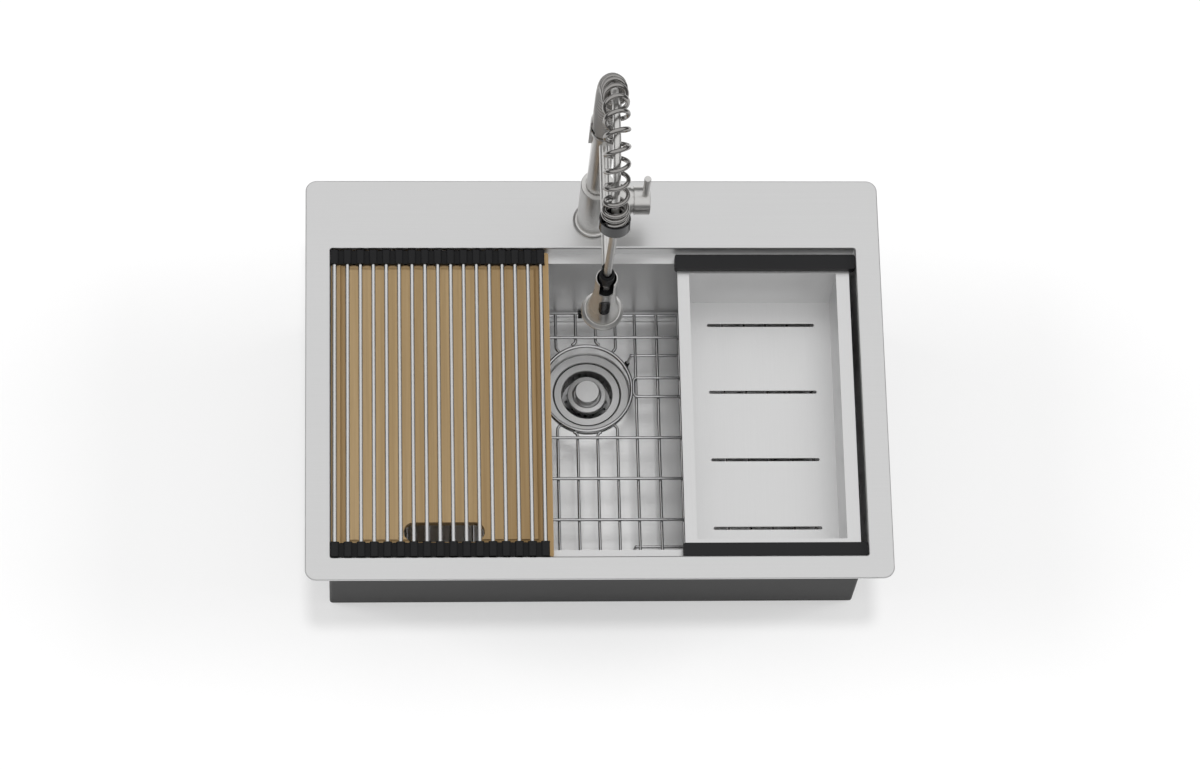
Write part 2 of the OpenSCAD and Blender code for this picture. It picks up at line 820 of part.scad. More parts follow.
module handle_cap() {
  l = handle_end - pivot_x;
  color(steel) translate([pivot_x, tap_y, handle_z]) rotate([0, 90, 0]) difference() {
    union() {
      difference() {
        turned([[0, tilt_gap], [barrel_r, tilt_gap], [barrel_r, l - 0.8],
          [barrel_r - 0.8, l], [0, l]]);
        sphere(r = dome_r + gap);
        translate([0, 0, -1]) cylinder(r = dome_r + gap, h = tilt_gap + 1.1);
      }
      translate([0, 0, 3.5]) cylinder(r = 4.6, h = l - 6);
    }
    sphere(r = 3.4 + gap);
    translate([-barrel_r - 1, 0, stick_x - pivot_x]) rotate([0, 90, 0])
      cylinder(r = 3, h = 9);
    translate([barrel_r + 1, 0, l - 4.2]) rotate([0, -90, 0]) cylinder(r = 2.05, h = 6);
  }
}

module handle_stick() {
  color(steel) translate([stick_x, tap_y, handle_z]) union() {
    translate([0, 0, barrel_r - 7]) cylinder(r = 3, h = 8);
    translate([0, 0, barrel_r + 0.1]) cylinder(r1 = 4.2, r2 = 4.65, h = 50);
    translate([0, 0, barrel_r + 50.1]) cylinder(r1 = 4.65, r2 = 4, h = 0.8);
  }
}

module handle_screw() {
  color(dark) translate([handle_end - 4.2, tap_y, handle_z - barrel_r + 0.2])
    difference() {
      cylinder(r = 2, h = 4.4);
      translate([0, 0, -1]) cylinder(r = 1.1, h = 2.5, $fn = 6);
    }
}

// Swivelling neck

module riser() {
  r = riser_d / 2;
  low = deck + body_h - swivel_depth + gap;
  color(steel) at_tap(0) turned([
    [r - 1.5, low], [r, low], [r, riser_top - 4], [17.4, riser_top - 4],
    [17.4, riser_top], [r - 1.5, riser_top]]);
}

clamp_z = [deck + 258, deck + 320];

// Sleeve behind the riser and the spring's first turns, open to the front
module arm_clamp() {
  h = clamp_z[1] - clamp_z[0];
  color(steel) at_tap(clamp_z[0]) difference() {
    cylinder(r = 19.2, h = h);
    translate([0, 0, -1]) cylinder(r = riser_d / 2, h = riser_top - 4 - clamp_z[0] + 1);
    translate([0, 0, riser_top - 4 - clamp_z[0]]) cylinder(r = 17.4 + 0.2, h = h);
    translate([-25, -50, -1]) cube([50, 50 - 2, h + 2]);
  }
}

cradle_z = [deck + 258, deck + 279];

// Arm from the riser to the cradle that the spray head hangs in
module docking_arm() {
  color(steel) difference() {
    union() {
      translate([0, tap_y, arm_z]) rotate([90, 0, 0]) cylinder(r = 6.5, h = reach - 4);
      translate([0, head_y, cradle_z[0] + 8])
        turned([[0, 0], [9.6, 0], [9.6, 11.6], [8.4, 13], [0, 13]]);
      translate([0, head_y, cradle_z[0]]) cylinder(r = 9.6, h = 10);
    }
    at_tap(arm_z - 10) cylinder(r = riser_d / 2, h = 20);
    translate([0, head_y, cradle_z[0] - 1]) cylinder(r = hose_d / 2 + 1, h = 30);
  }
}

// Line of the neck

straight_l = bend_z - riser_top;
steps = 76;
function arch_p(a) = [0, tap_y - arch_a * (1 - cos(a)), bend_z + arch_b * sin(a)];
function arch_t(a) = [0, -arch_a * sin(a), arch_b * cos(a)] /
  norm([0, arch_a * sin(a), arch_b * cos(a)]);
arch_table = [for (i = 0, s = 0; i <= steps;
  s = s + norm(arch_p((i + 1) * arch_end / steps) - arch_p(i * arch_end / steps)),
  i = i + 1) [s, i * arch_end / steps]];
arch_l = arch_table[steps][0];
neck_l = straight_l + arch_l;
end_p = arch_p(arch_end);
end_t = arch_t(arch_end);

// Point and direction at a distance along the neck, from the riser's top
function neck_p(s) = s <= straight_l ? [0, tap_y, riser_top + s] :
  s <= neck_l ? arch_p(lookup(s - straight_l, arch_table)) :
  end_p + (s - neck_l) * end_t;
function neck_t(s) = s <= straight_l ? [0, 0, 1] :
  s <= neck_l ? arch_t(lookup(s - straight_l, arch_table)) : end_t;

// Tube through points; refs are directions across it, sides the number of its faces
module tube(points, refs, r, sides) {
  n = len(points);
  dirs = [for (i = [0:n - 1]) points[min(i + 1, n - 1)] - points[max(i - 1, 0)]];
  rings = [for (i = [0:n - 1])
    let (t = dirs[i] / norm(dirs[i]),
      b = cross(t, refs[i]) / norm(cross(t, refs[i])),
      a = cross(b, t))
    for (k = [0:sides - 1])
      points[i] + r * (a * cos(360 * k / sides) + b * sin(360 * k / sides))];
  walls = [for (i = [0:n - 2], k = [0:sides - 1])
    let (a = i * sides + k, b = i * sides + (k + 1) % sides)
    for (f = [[a, a + sides, b], [b, a + sides, b + sides]]) f];
  low = [for (k = [1:sides - 2]) [0, k, k + 1]];
  last = (n - 1) * sides;
  high = [for (k = [1:sides - 2]) [last, last + k + 1, last + k]];
  polyhedron(points = rings, faces = concat(walls, low, high), convexity = 10);
}

// Spring: close turns, a pitch that grows, open turns, then close turns at the cup
pitch_0 = coil_wire + 0.5;
pitch_1 = 20.9;
pitch_2 = coil_wire + 1.9;
lift_0 = coil_wire + 2.2;
s_1 = 54;
s_2 = 226;
s_3 = neck_l - 21;
s_4 = neck_l - 1.5;
grow = (pitch_1 - pitch_0) / (s_2 - s_1);
n_1 = (s_1 - lift_0) / pitch_0;
n_2 = n_1 + ln(pitch_1 / pitch_0) / grow;
n_3 = n_2 + (s_3 - s_2) / pitch_1;
n_4 = n_3 + (s_4 - s_3) / pitch_2;
function s_of(n) = n < n_1 ? lift_0 + n * pitch_0 :
  n < n_2 ? s_1 + pitch_0 * (exp((n - n_1) * grow) - 1) / grow :
  n < n_3 ? s_2 + (n - n_2) * pitch_1 : s_3 + (n - n_3) * pitch_2;
phase = -360 * (n_2 + (287.7 - s_2) / pitch_1);
curls = floor(n_4 * 8);

function coil_ref(s, turn) = let (t = neck_t(s), e = cross(t, [1, 0, 0]))
  cos(turn) * [1, 0, 0] + sin(turn) * e;
coil_s = [for (i = [0:curls]) s_of(i / 8)];
coil_refs = [for (i = [0:curls]) coil_ref(coil_s[i], phase + 45 * i)];
coil_mid = [for (i = [0:curls]) neck_p(coil_s[i]) + coil_r * coil_refs[i]];
coil_tail = coil_mid[curls] + 9 * end_t;
coil_points = concat([coil_mid[0] - [0, 0, lift_0 - gap]], coil_mid, [coil_tail]);
coil_gap = min([for (i = [0:curls - 12], j = [5:12])
  norm(coil_mid[i + j] - coil_mid[i])]) - coil_wire;
echo(curls = curls / 8, least_gap = coil_gap);

module neck_spring() {
  color(steel)
    tube(coil_points, concat([coil_refs[0]], coil_refs, [coil_refs[curls]]), coil_wire / 2, 6);
}

// Black cup at the spring's free end
cup_top = neck_l - 3;
cup_low = neck_l + 14;
cup_out = 19.5;

module along_end(s) {
  lean = acos(-end_t[2]);
  translate(neck_p(s)) rotate([-lean, 0, 0]) children();
}

module holder_cup() {
  h = cup_low - cup_top;
  color(dark) along_end(cup_low) difference() {
    turned([[hose_d / 2 + 0.6, 0], [cup_out - 1.6, 0], [cup_out, 1.6], [cup_out, h - 0.6],
      [cup_out - 0.6, h], [coil_d / 2 + 0.4, h], [coil_d / 2 + 0.4, 4.4], [hose_d / 2 + 0.6, 4.4]]);
  }
}

// Spray hose: up inside the riser, along the neck, out of the cup and down to the head
hose_out = neck_p(cup_low);
hose_s = [for (s = [-24:22:neck_l]) s];
hose_points = concat(
  [for (s = hose_s) s < 0 ? [0, tap_y, riser_top + s] : neck_p(s)],
  [neck_p(neck_l - 1), hose_out + 2 * end_t],
  [for (p = [[25, 418], [25.4, 396], [27, 364], [29, 330], [30.4, 300], [31, 280], [31, 254]])
    [0, p[0] + head_y - 31, deck + p[1]]]);
hose_refs = [for (p = hose_points) [1, 0, 0]];

module spray_hose() {
  color(steel) tube(hose_points, hose_refs, hose_d / 2, 12);
}

// Spray head

module at_head() {
  translate([0, head_y, 0]) children();
}

socket_z = deck + 235;

module hose_nut() {
  color(steel) at_head() translate([0, 0, socket_z]) difference() {
    union() {
      cylinder(r = 3.9, h = 2);
      translate([0, 0, 1]) cylinder(r = 6.6, h = 10, $fn = 6);
      translate([0, 0, 10.5]) cylinder(r = 5, h = 2.5);
      translate([0, 0, 12.5]) cylinder(r = 6.4, h = 6);
      translate([0, 0, 18.5]) cylinder(r = 7.4, h = 3);
    }
    translate([0, 0, 14]) cylinder(r = hose_d / 2, h = 20);
  }
}

// Outside of the head: r by height over its lower end
function shell_at(grow) = [
  [21.4 + grow, 0], [21.4 + grow, 11], [19.9 + grow, 18], [18.3 + grow, 28],
  [15.9 + grow, 46], [14.5 + grow, 64], [13.9 + grow, 84], [13.8 + grow, 114]];

module button_shape(grow, y0, y1) {
  w = 13.6 + 2 * grow;
  l = 33 + 2 * grow;
  translate([0, y1, deck + 201.5]) rotate([90, 0, 0]) linear_extrude(y1 - y0) union() {
    square([w, l - w], center = true);
    for (s = [-1, 1]) translate([0, s * (l - w) / 2]) circle(d = w);
  }
}

module head_shell() {
  color(steel) at_head() difference() {
    translate([0, 0, head_low]) turned(concat([[0, 0]], shell_at(0), [[0, 114]]));
    translate([0, 0, socket_z]) cylinder(r = 12.15, h = 40);
    translate([0, 0, head_low - 1]) turned([[0, 0], [19.6, 0], [19.6, 10], [16.5, 29],
      [13.9, 48], [12.2, 64], [12, 74], [0, 74]]);
    translate([0, 0, head_low + 60]) cylinder(r = 3.9, h = 40);
    translate([-8.9, -20, socket_z]) cube([17.8, 20, 40]);
    button_shape(0.3, -24, -8);
  }
}

module head_ring() {
  color(steel) at_head() translate([0, 0, ring_low]) turned([
    [21.4, 0.6], [24.6, 0], [26.2, 0.8], [26.9, 2.4], [26.9, 5.4], [26.2, 7.4],
    [23.2, 10.4], [22.4, 10.4], [22.4, 8.4], [21.4, 8.4]]);
}

module nozzle_face() {
  color(dark) at_head() translate([0, 0, head_low + 1]) difference() {
    union() {
      cylinder(r = 19.6, h = 4);
      for (i = [0:11]) rotate([0, 0, 30 * i]) translate([15, 0, -1.2]) cylinder(r = 1, h = 2);
      for (i = [0:7]) rotate([0, 0, 45 * i]) translate([9.5, 0, -1.2]) cylinder(r = 1, h = 2);
    }
    translate([0, 0, -1]) cylinder(r = 4.5, h = 3);
  }
}

module spray_button() {
  color(dark) at_head() intersection() {
    button_shape(0, -24, -12.6);
    translate([0, 0, head_low]) turned(concat([[0, 0]], shell_at(1), [[0, 114]]));
  }
}

sink_shell();
sound_coating();
rim_gasket();
fixing_rails();
mounting_clips();
clip_screws();
drain_flange();
drain_gasket();
fibre_washer();
drain_locknut();
tailpiece_washer();
tailpiece();
slip_nut();
strainer_basket();
basket_seal();
stopper_knob();
stopper_seal();
grid_frame();
grid_wires();
grid_cross_wires();
grid_feet();
grid_bumpers();
cutting_board();
rack_strip_back();
rack_strip_front();
rack_rods_1();
rack_rods_2();
rack_rods_3();
rack_rods_4();
rack_rods_5();
rack_rods_6();
rack_rods_7();
rack_rods_8();
rack_rods_9();
colander_tray();
tray_grips();
base_flange();
tap_body();
deck_washer();
mounting_nut();
shank();
water_inlets();
cartridge();
cartridge_nut();
handle_dome();
handle_hub();
handle_cap();
handle_stick();
handle_screw();
riser();
arm_clamp();
docking_arm();
holder_cup();
neck_spring();
spray_hose();
hose_nut();
head_shell();
head_ring();
nozzle_face();
spray_button();
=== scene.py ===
"""Looks of a top-mount kitchen sink with a spring-neck tap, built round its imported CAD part."""

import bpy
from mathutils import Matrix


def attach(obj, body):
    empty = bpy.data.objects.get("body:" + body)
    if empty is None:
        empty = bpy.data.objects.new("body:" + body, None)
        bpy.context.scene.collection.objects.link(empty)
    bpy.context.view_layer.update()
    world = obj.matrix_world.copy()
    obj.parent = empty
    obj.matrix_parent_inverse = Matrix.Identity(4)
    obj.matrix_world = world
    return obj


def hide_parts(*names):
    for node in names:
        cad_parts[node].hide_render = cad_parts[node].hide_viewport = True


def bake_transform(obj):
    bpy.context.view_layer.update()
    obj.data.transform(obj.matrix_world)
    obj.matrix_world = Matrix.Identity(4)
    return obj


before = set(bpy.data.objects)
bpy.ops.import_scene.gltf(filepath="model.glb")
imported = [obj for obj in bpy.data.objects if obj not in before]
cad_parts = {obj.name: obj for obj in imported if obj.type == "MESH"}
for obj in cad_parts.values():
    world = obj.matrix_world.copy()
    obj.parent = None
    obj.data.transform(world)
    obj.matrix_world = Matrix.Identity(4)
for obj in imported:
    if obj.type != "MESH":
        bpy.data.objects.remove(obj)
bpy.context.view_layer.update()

import logging
import math
from dataclasses import dataclass, field
from enum import Enum
from typing import Callable, Iterable, Sequence

import bmesh
import bpy
from mathutils import Matrix, Vector

logging.basicConfig(level=logging.INFO, format="%(message)s")
LOG = logging.getLogger("sink")

MM = 0.001
MM_PER_METRE = 1000.0
SENSOR_MM = 36.0
WHITE_LEVEL = 1.0

Point = tuple[float, float, float]
Socket = bpy.types.NodeSocket


# Colours and nodes


def linear(hex_colour: str) -> tuple[float, float, float, float]:
    """Turn an sRGB hex colour into the linear values that a shader takes.

    Args:
        hex_colour: The colour as "#rrggbb".

    Returns:
        Linear red, green and blue, and an alpha of 1.
    """
    parts = [int(hex_colour[i : i + 2], 16) / 255 for i in (1, 3, 5)]
    lin = [p / 12.92 if p <= 0.04045 else ((p + 0.055) / 1.055) ** 2.4 for p in parts]
    return (lin[0], lin[1], lin[2], 1.0)


def tone_pair(hex_colour: str, tone: float) -> tuple[tuple[float, ...], tuple[float, ...]]:
    """Make a colour a share darker and the same share lighter.

    Args:
        hex_colour: The colour as "#rrggbb".
        tone: The share.

    Returns:
        The darker and the lighter colour, linear, each with an alpha of 1.
    """
    base = linear(hex_colour)[:3]
    low = tuple(c * (1 - tone) for c in base) + (1.0,)
    high = tuple(min(1.0, c * (1 + tone)) for c in base) + (1.0,)
    return low, high


def add_node(
    tree: bpy.types.NodeTree, kind: str, inputs: dict | None = None, **settings: object
) -> bpy.types.Node:
    """Add a node with its settings, values and links.

    Args:
        tree: The tree that takes the node.
        kind: Blender's name for the node type.
        inputs: Values or output sockets, by the name or number of the input.
        **settings: Attributes of the node, such as its operation.

    Returns:
        The new node.
    """
    node = tree.nodes.new(kind)
    for key, value in settings.items():
        setattr(node, key, value)
    for key, value in (inputs or {}).items():
        if isinstance(value, Socket):
            tree.links.new(value, node.inputs[key])
        else:
            node.inputs[key].default_value = value
    return node


def new_material(name: str) -> tuple[bpy.types.Material, bpy.types.NodeTree]:
    """Make an empty node material.

    Args:
        name: The material's name.

    Returns:
        The material and its node tree.
    """
    material = bpy.data.materials.new(name)
    material.use_nodes = True
    material.node_tree.nodes.clear()
    return material, material.node_tree


def object_place(tree: bpy.types.NodeTree) -> Socket:
    """Object coordinates of the shaded point.

    Args:
        tree: The material's tree.

    Returns:
        The vector socket.
    """
    return add_node(tree, "ShaderNodeTexCoord").outputs["Object"]


def clear_from_behind(tree: bpy.types.NodeTree, front: Socket) -> None:
    """Finish a material with a shader on the front of each face and nothing on its back.

    Args:
        tree: The material's tree.
        front: The shader of the front.
    """
    side = add_node(tree, "ShaderNodeNewGeometry")
    clear = add_node(tree, "ShaderNodeBsdfTransparent")
    shown = add_node(
        tree,
        "ShaderNodeMixShader",
        {0: side.outputs["Backfacing"], 1: front, 2: clear.outputs[0]},
    )
    add_node(tree, "ShaderNodeOutputMaterial", {"Surface": shown.outputs[0]})


# Finishes


class Run(Enum):
    """Which way the marks of a surface run; the value is the stretch of each axis."""

    ALONG_X = (0.012, 1.0, 1.0)
    ALONG_Y = (1.0, 0.012, 1.0)
    ROUND_Z = (0.03, 0.03, 1.0)
    EVEN = (1.0, 1.0, 1.0)


def stretched(tree: bpy.types.NodeTree, run: Run, pitch_mm: float) -> Socket:
    """Object coordinates scaled so that one unit is one mark across the run.

    Args:
        tree: The material's tree.
        run: Which way the marks run.
        pitch_mm: Distance between two marks, in millimetres.

    Returns:
        The vector socket.
    """
    unit = MM_PER_METRE / pitch_mm
    scale = tuple(unit * part for part in run.value)
    mapped = add_node(tree, "ShaderNodeMapping", {"Vector": object_place(tree), "Scale": scale})
    return mapped.outputs["Vector"]


@dataclass(frozen=True)
class WorkedMetal:
    """A metal whose surface was brushed, turned, drawn or polished.

    Going down from one height to another, it blends into a lighter colour where it has one: painted
    light on the lower part.
    Where a socket is given, as the axis's y, the radius and the lowest z, the inside of that
    upright socket is painted matt black: painted shade.
    """

    name: str
    colour: str
    roughness: float
    mark_mm: float
    run: Run
    depth_mm: float = 0.01
    tone: float = 0.05
    blotch_mm: float = 60.0
    painted_light_colour: str = ""
    painted_light_from: float = 0.0
    painted_light_to: float = 0.0
    socket_shade: tuple[float, float, float] | None = None
    blotch_share: float = 0.35
    rough_spread: tuple[float, float] = (0.82, 1.18)
    bump_strength: float = 0.6

    def socket_shaded(self, tree: bpy.types.NodeTree, metal: Socket) -> Socket:
        """Paint the metal matt black inside an upright socket, where it has one: painted shade.

        Args:
            tree: The material's tree.
            metal: The metal's shader.

        Returns:
            The shader of the whole surface.
        """
        if self.socket_shade is None:
            return metal
        axis_y, radius, low = self.socket_shade
        split = add_node(tree, "ShaderNodeSeparateXYZ", {0: object_place(tree)})
        flat = add_node(
            tree, "ShaderNodeCombineXYZ", {"X": split.outputs["X"], "Y": split.outputs["Y"]}
        )
        away = add_node(
            tree,
            "ShaderNodeVectorMath",
            {0: flat.outputs[0], 1: (0.0, axis_y, 0.0)},
            operation="DISTANCE",
        )
        near = add_node(
            tree, "ShaderNodeMath", {0: away.outputs["Value"], 1: radius}, operation="LESS_THAN"
        )
        above = add_node(
            tree, "ShaderNodeMath", {0: split.outputs["Z"], 1: low}, operation="GREATER_THAN"
        )
        inside = add_node(
            tree, "ShaderNodeMath", {0: near.outputs[0], 1: above.outputs[0]}, operation="MULTIPLY"
        )
        # Painted shade: matt black where the inside of the socket lies.
        shade_black = add_node(
            tree,
            "ShaderNodeBsdfPrincipled",
            {"Base Color": linear("#101011"), "Roughness": 0.5, "Specular IOR Level": 0.18},
        )
        both = add_node(
            tree,
            "ShaderNodeMixShader",
            {0: inside.outputs[0], 1: metal, 2: shade_black.outputs["BSDF"]},
        )
        return both.outputs[0]

    def toned(self, tree: bpy.types.NodeTree, colour: Socket) -> Socket:
        """Blend towards a lighter colour by height, where the finish has one: painted light on the
        lower part.

        Args:
            tree: The material's tree.
            colour: The colour of the upper part.

        Returns:
            The blended colour.
        """
        if not self.painted_light_colour:
            return colour
        split = add_node(tree, "ShaderNodeSeparateXYZ", {0: object_place(tree)})
        share = add_node(
            tree,
            "ShaderNodeMapRange",
            {"Value": split.outputs["Z"], "From Min": self.painted_light_from, "From Max": self.painted_light_to},
        )
        # Painted light: the lower part turns to the lighter colour.
        blend = add_node(
            tree,
            "ShaderNodeMix",
            {0: share.outputs["Result"], 6: colour, 7: linear(self.painted_light_colour)},
            data_type="RGBA",
        )
        return blend.outputs[2]

    def material(self) -> bpy.types.Material:
        """Build the material: marks of the tool over a slow change of tone.

        Returns:
            The finished material.
        """
        material, tree = new_material(self.name)
        marks = add_node(
            tree,
            "ShaderNodeTexNoise",
            {"Vector": stretched(tree, self.run, self.mark_mm), "Scale": 1.0, "Detail": 3.0},
        )
        blotch = add_node(
            tree,
            "ShaderNodeTexNoise",
            {"Vector": object_place(tree), "Scale": MM_PER_METRE / self.blotch_mm},
        )
        both = add_node(
            tree,
            "ShaderNodeMix",
            {0: self.blotch_share, 2: marks.outputs["Fac"], 3: blotch.outputs["Fac"]},
        )
        low, high = tone_pair(self.colour, self.tone)
        colour = add_node(
            tree,
            "ShaderNodeMix",
            {0: both.outputs[0], 6: low, 7: high},
            data_type="RGBA",
        )
        rough = add_node(
            tree,
            "ShaderNodeMapRange",
            {
                "Value": both.outputs[0],
                "From Min": 0.25,
                "From Max": 0.75,
                "To Min": self.roughness * self.rough_spread[0],
                "To Max": self.roughness * self.rough_spread[1],
            },
        )
        bump = add_node(
            tree,
            "ShaderNodeBump",
            {
                "Strength": self.bump_strength,
                "Distance": self.depth_mm * MM,
                "Height": marks.outputs["Fac"],
            },
        )
        shader = add_node(
            tree,
            "ShaderNodeBsdfPrincipled",
            {
                "Base Color": self.toned(tree, colour.outputs[2]),
                "Metallic": 1.0,
                "Roughness": rough.outputs["Result"],
                "Normal": bump.outputs["Normal"],
            },
        )
        add_node(
            tree,
            "ShaderNodeOutputMaterial",
            {"Surface": self.socket_shaded(tree, shader.outputs["BSDF"])},
        )
        return material


@dataclass(frozen=True)
class MouldedPolymer:
    """Rubber, silicone or plastic that took its surface from a mould, or a sprayed coat."""

    name: str
    colour: str
    roughness: float
    grit_mm: float
    depth_mm: float
    tone: float = 0.12
    specular: float = 0.18
    coat: float = 0.0
    coat_roughness: float = 0.08
    slow_scale: float = 25.0
    rough_spread: tuple[float, float] = (0.88, 1.12)
    bump_strength: float = 0.7

    def material(self) -> bpy.types.Material:
        """Build the material: a fine even grit and a slow change of tone.

        Returns:
            The finished material.
        """
        material, tree = new_material(self.name)
        grit = add_node(
            tree,
            "ShaderNodeTexNoise",
            {"Vector": stretched(tree, Run.EVEN, self.grit_mm), "Scale": 1.0, "Detail": 2.0},
        )
        slow = add_node(
            tree, "ShaderNodeTexNoise", {"Vector": object_place(tree), "Scale": self.slow_scale}
        )
        low, high = tone_pair(self.colour, self.tone)
        colour = add_node(
            tree, "ShaderNodeMix", {0: slow.outputs["Fac"], 6: low, 7: high}, data_type="RGBA"
        )
        rough = add_node(
            tree,
            "ShaderNodeMapRange",
            {
                "Value": slow.outputs["Fac"],
                "To Min": self.roughness * self.rough_spread[0],
                "To Max": min(1.0, self.roughness * self.rough_spread[1]),
            },
        )
        bump = add_node(
            tree,
            "ShaderNodeBump",
            {
                "Strength": self.bump_strength,
                "Distance": self.depth_mm * MM,
                "Height": grit.outputs["Fac"],
            },
        )
        shader = add_node(
            tree,
            "ShaderNodeBsdfPrincipled",
            {
                "Base Color": colour.outputs[2],
                "Roughness": rough.outputs["Result"],
                "IOR": 1.5,
                "Specular IOR Level": self.specular,
                "Coat Weight": self.coat,
                "Coat Roughness": self.coat_roughness,
                "Normal": bump.outputs["Normal"],
            },
        )
        add_node(tree, "ShaderNodeOutputMaterial", {"Surface": shader.outputs["BSDF"]})
        return material


@dataclass(frozen=True)
class OiledWood:
    """Planed and oiled hardwood staves, their grain running front to back."""

    name: str
    light: str
    dark: str
    ring_mm: float
    fibre_mm: float
    stave_mm: float
    roughness: float
    ring_stretch: tuple[float, float] = (3.0, 260.0)
    fibre_share: float = 0.35
    stave_share: float = 0.28
    contrast: tuple[float, float] = (0.3, 0.7)
    depth_mm: float = 0.1

    def material(self) -> bpy.types.Material:
        """Build the material: staves of slightly different tone, growth rings and fibres.

        Returns:
            The finished material.
        """
        material, tree = new_material(self.name)
        split = add_node(tree, "ShaderNodeSeparateXYZ", {0: object_place(tree)})
        count = add_node(
            tree,
            "ShaderNodeMath",
            {0: split.outputs["X"], 1: MM_PER_METRE / self.stave_mm},
            operation="MULTIPLY",
        )
        stave = add_node(tree, "ShaderNodeMath", {0: count.outputs[0]}, operation="FLOOR")
        tone = add_node(
            tree, "ShaderNodeTexWhiteNoise", {"W": stave.outputs[0]}, noise_dimensions="1D"
        )
        shift = add_node(
            tree,
            "ShaderNodeCombineXYZ",
            {"X": stave.outputs[0], "Y": tone.outputs["Value"], "Z": tone.outputs["Value"]},
        )
        rings_at = add_node(
            tree,
            "ShaderNodeMapping",
            {
                "Vector": object_place(tree),
                "Location": shift.outputs[0],
                "Scale": (MM_PER_METRE / self.ring_mm, *self.ring_stretch),
            },
        )
        rings = add_node(
            tree,
            "ShaderNodeTexNoise",
            {"Vector": rings_at.outputs[0], "Scale": 0.5, "Detail": 4.0, "Distortion": 0.4},
        )
        fibres = add_node(
            tree,
            "ShaderNodeTexNoise",
            {"Vector": stretched(tree, Run.ALONG_Y, self.fibre_mm), "Scale": 1.0},
        )
        mixed = add_node(
            tree,
            "ShaderNodeMix",
            {0: self.fibre_share, 2: rings.outputs["Fac"], 3: fibres.outputs["Fac"]},
        )
        toned = add_node(
            tree,
            "ShaderNodeMix",
            {0: self.stave_share, 2: mixed.outputs[0], 3: tone.outputs["Value"]},
        )
        sharper = add_node(
            tree,
            "ShaderNodeMapRange",
            {
                "Value": toned.outputs[0],
                "From Min": self.contrast[0],
                "From Max": self.contrast[1],
            },
        )
        colour = add_node(
            tree,
            "ShaderNodeMix",
            {0: sharper.outputs[0], 6: linear(self.dark), 7: linear(self.light)},
            data_type="RGBA",
        )
        bump = add_node(
            tree,
            "ShaderNodeBump",
            {"Strength": 0.5, "Distance": self.depth_mm * MM, "Height": mixed.outputs[0]},
        )
        shader = add_node(
            tree,
            "ShaderNodeBsdfPrincipled",
            {
                "Base Color": colour.outputs[2],
                "Roughness": self.roughness,
                "IOR": 1.5,
                "Normal": bump.outputs["Normal"],
            },
        )
        add_node(tree, "ShaderNodeOutputMaterial", {"Surface": shader.outputs["BSDF"]})
        return material


Finish = WorkedMetal | MouldedPolymer | OiledWood

# Cold-rolled 304 sheet with a satin brush: even light grey, faint lines along the rim.
# Painted light: towards the bowl's floor the colour turns lighter, so the floor lies brighter than
# the deck.
SATIN_SHEET = WorkedMetal(
    "stainless_sheet_satin_brushed", "#d2d2d2", 0.36, 1.6, Run.ALONG_X,
    painted_light_colour="#f4f4f4", painted_light_from=-0.205, painted_light_to=-0.222,
)
# The same sheet pressed into the tray: a shade lighter, its brush running front to back.
SATIN_TRAY = WorkedMetal("stainless_tray_satin_brushed", "#d6d6d6", 0.36, 1.6, Run.ALONG_Y)
# Spun and pressed strainer parts: finer, glossier rings.
SPUN_STEEL = WorkedMetal("stainless_spun", "#dadada", 0.42, 1.2, Run.EVEN, 0.006, 0.04)
# Drawn and electropolished wire: bright with a soft highlight.
DRAWN_WIRE = WorkedMetal("stainless_wire_polished", "#c9c9ca", 0.2, 2.0, Run.EVEN, 0.004, 0.05)
DRAWN_TUBE = WorkedMetal("stainless_tube_polished", "#cdcdcd", 0.22, 1.0, Run.ALONG_Y, 0.004, 0.03)
# Brushed nickel tone of the tap: slightly warm, softer than the deck.
TAP_STEEL = WorkedMetal("stainless_tap_brushed", "#cbcac8", 0.3, 0.9, Run.ROUND_Z, 0.006, 0.04)
# The same, painted matt black inside the head's socket and inside the cradle: painted shade.
HEAD_STEEL = WorkedMetal(
    "stainless_head_brushed", "#cbcac8", 0.3, 0.9, Run.ROUND_Z, 0.006, 0.04,
    socket_shade=(0.031, 0.0126, 0.2385),
)
CRADLE_STEEL = WorkedMetal(
    "stainless_cradle_brushed", "#cbcac8", 0.3, 0.9, Run.ROUND_Z, 0.006, 0.04,
    socket_shade=(0.031, 0.0135, 0.2),
)
# Hard-drawn spring wire, ground and polished.
SPRING_STEEL = WorkedMetal("spring_wire_polished", "#989694", 0.16, 1.5, Run.EVEN, 0.003, 0.04)
ZINC_STEEL = WorkedMetal("steel_zinc_plated", "#a9abad", 0.38, 3.0, Run.EVEN, 0.01, 0.1, 8.0)
TURNED_BRASS = WorkedMetal("brass_turned", "#cfb173", 0.28, 0.6, Run.ROUND_Z, 0.01, 0.06)
# Sprayed sound-deadening coat: dead matt dark grey with a fine orange peel.
SOUND_COAT = MouldedPolymer("sprayed_sound_coat", "#5b5b5b", 0.85, 2.2, 0.12, 0.05)
EPDM = MouldedPolymer("rubber_moulded", "#1c1c1d", 0.62, 0.8, 0.03)
SILICONE = MouldedPolymer("silicone_moulded", "#1a1a1b", 0.5, 1.0, 0.02)
MATT_PLASTIC = MouldedPolymer("nylon_moulded_matt", "#202021", 0.48, 0.9, 0.02)
GLOSS_PLASTIC = MouldedPolymer("abs_moulded_gloss", "#0c0c0d", 0.14, 1.5, 0.004, 0.1, 0.5, 0.4)
FIBRE = MouldedPolymer("fibre_washer_pressed", "#a5866a", 0.8, 0.7, 0.05)
BOARD_WOOD = OiledWood("beech_planed_oiled", "#c6ab81", "#a1845a", 7.0, 1.1, 41.0, 0.5)


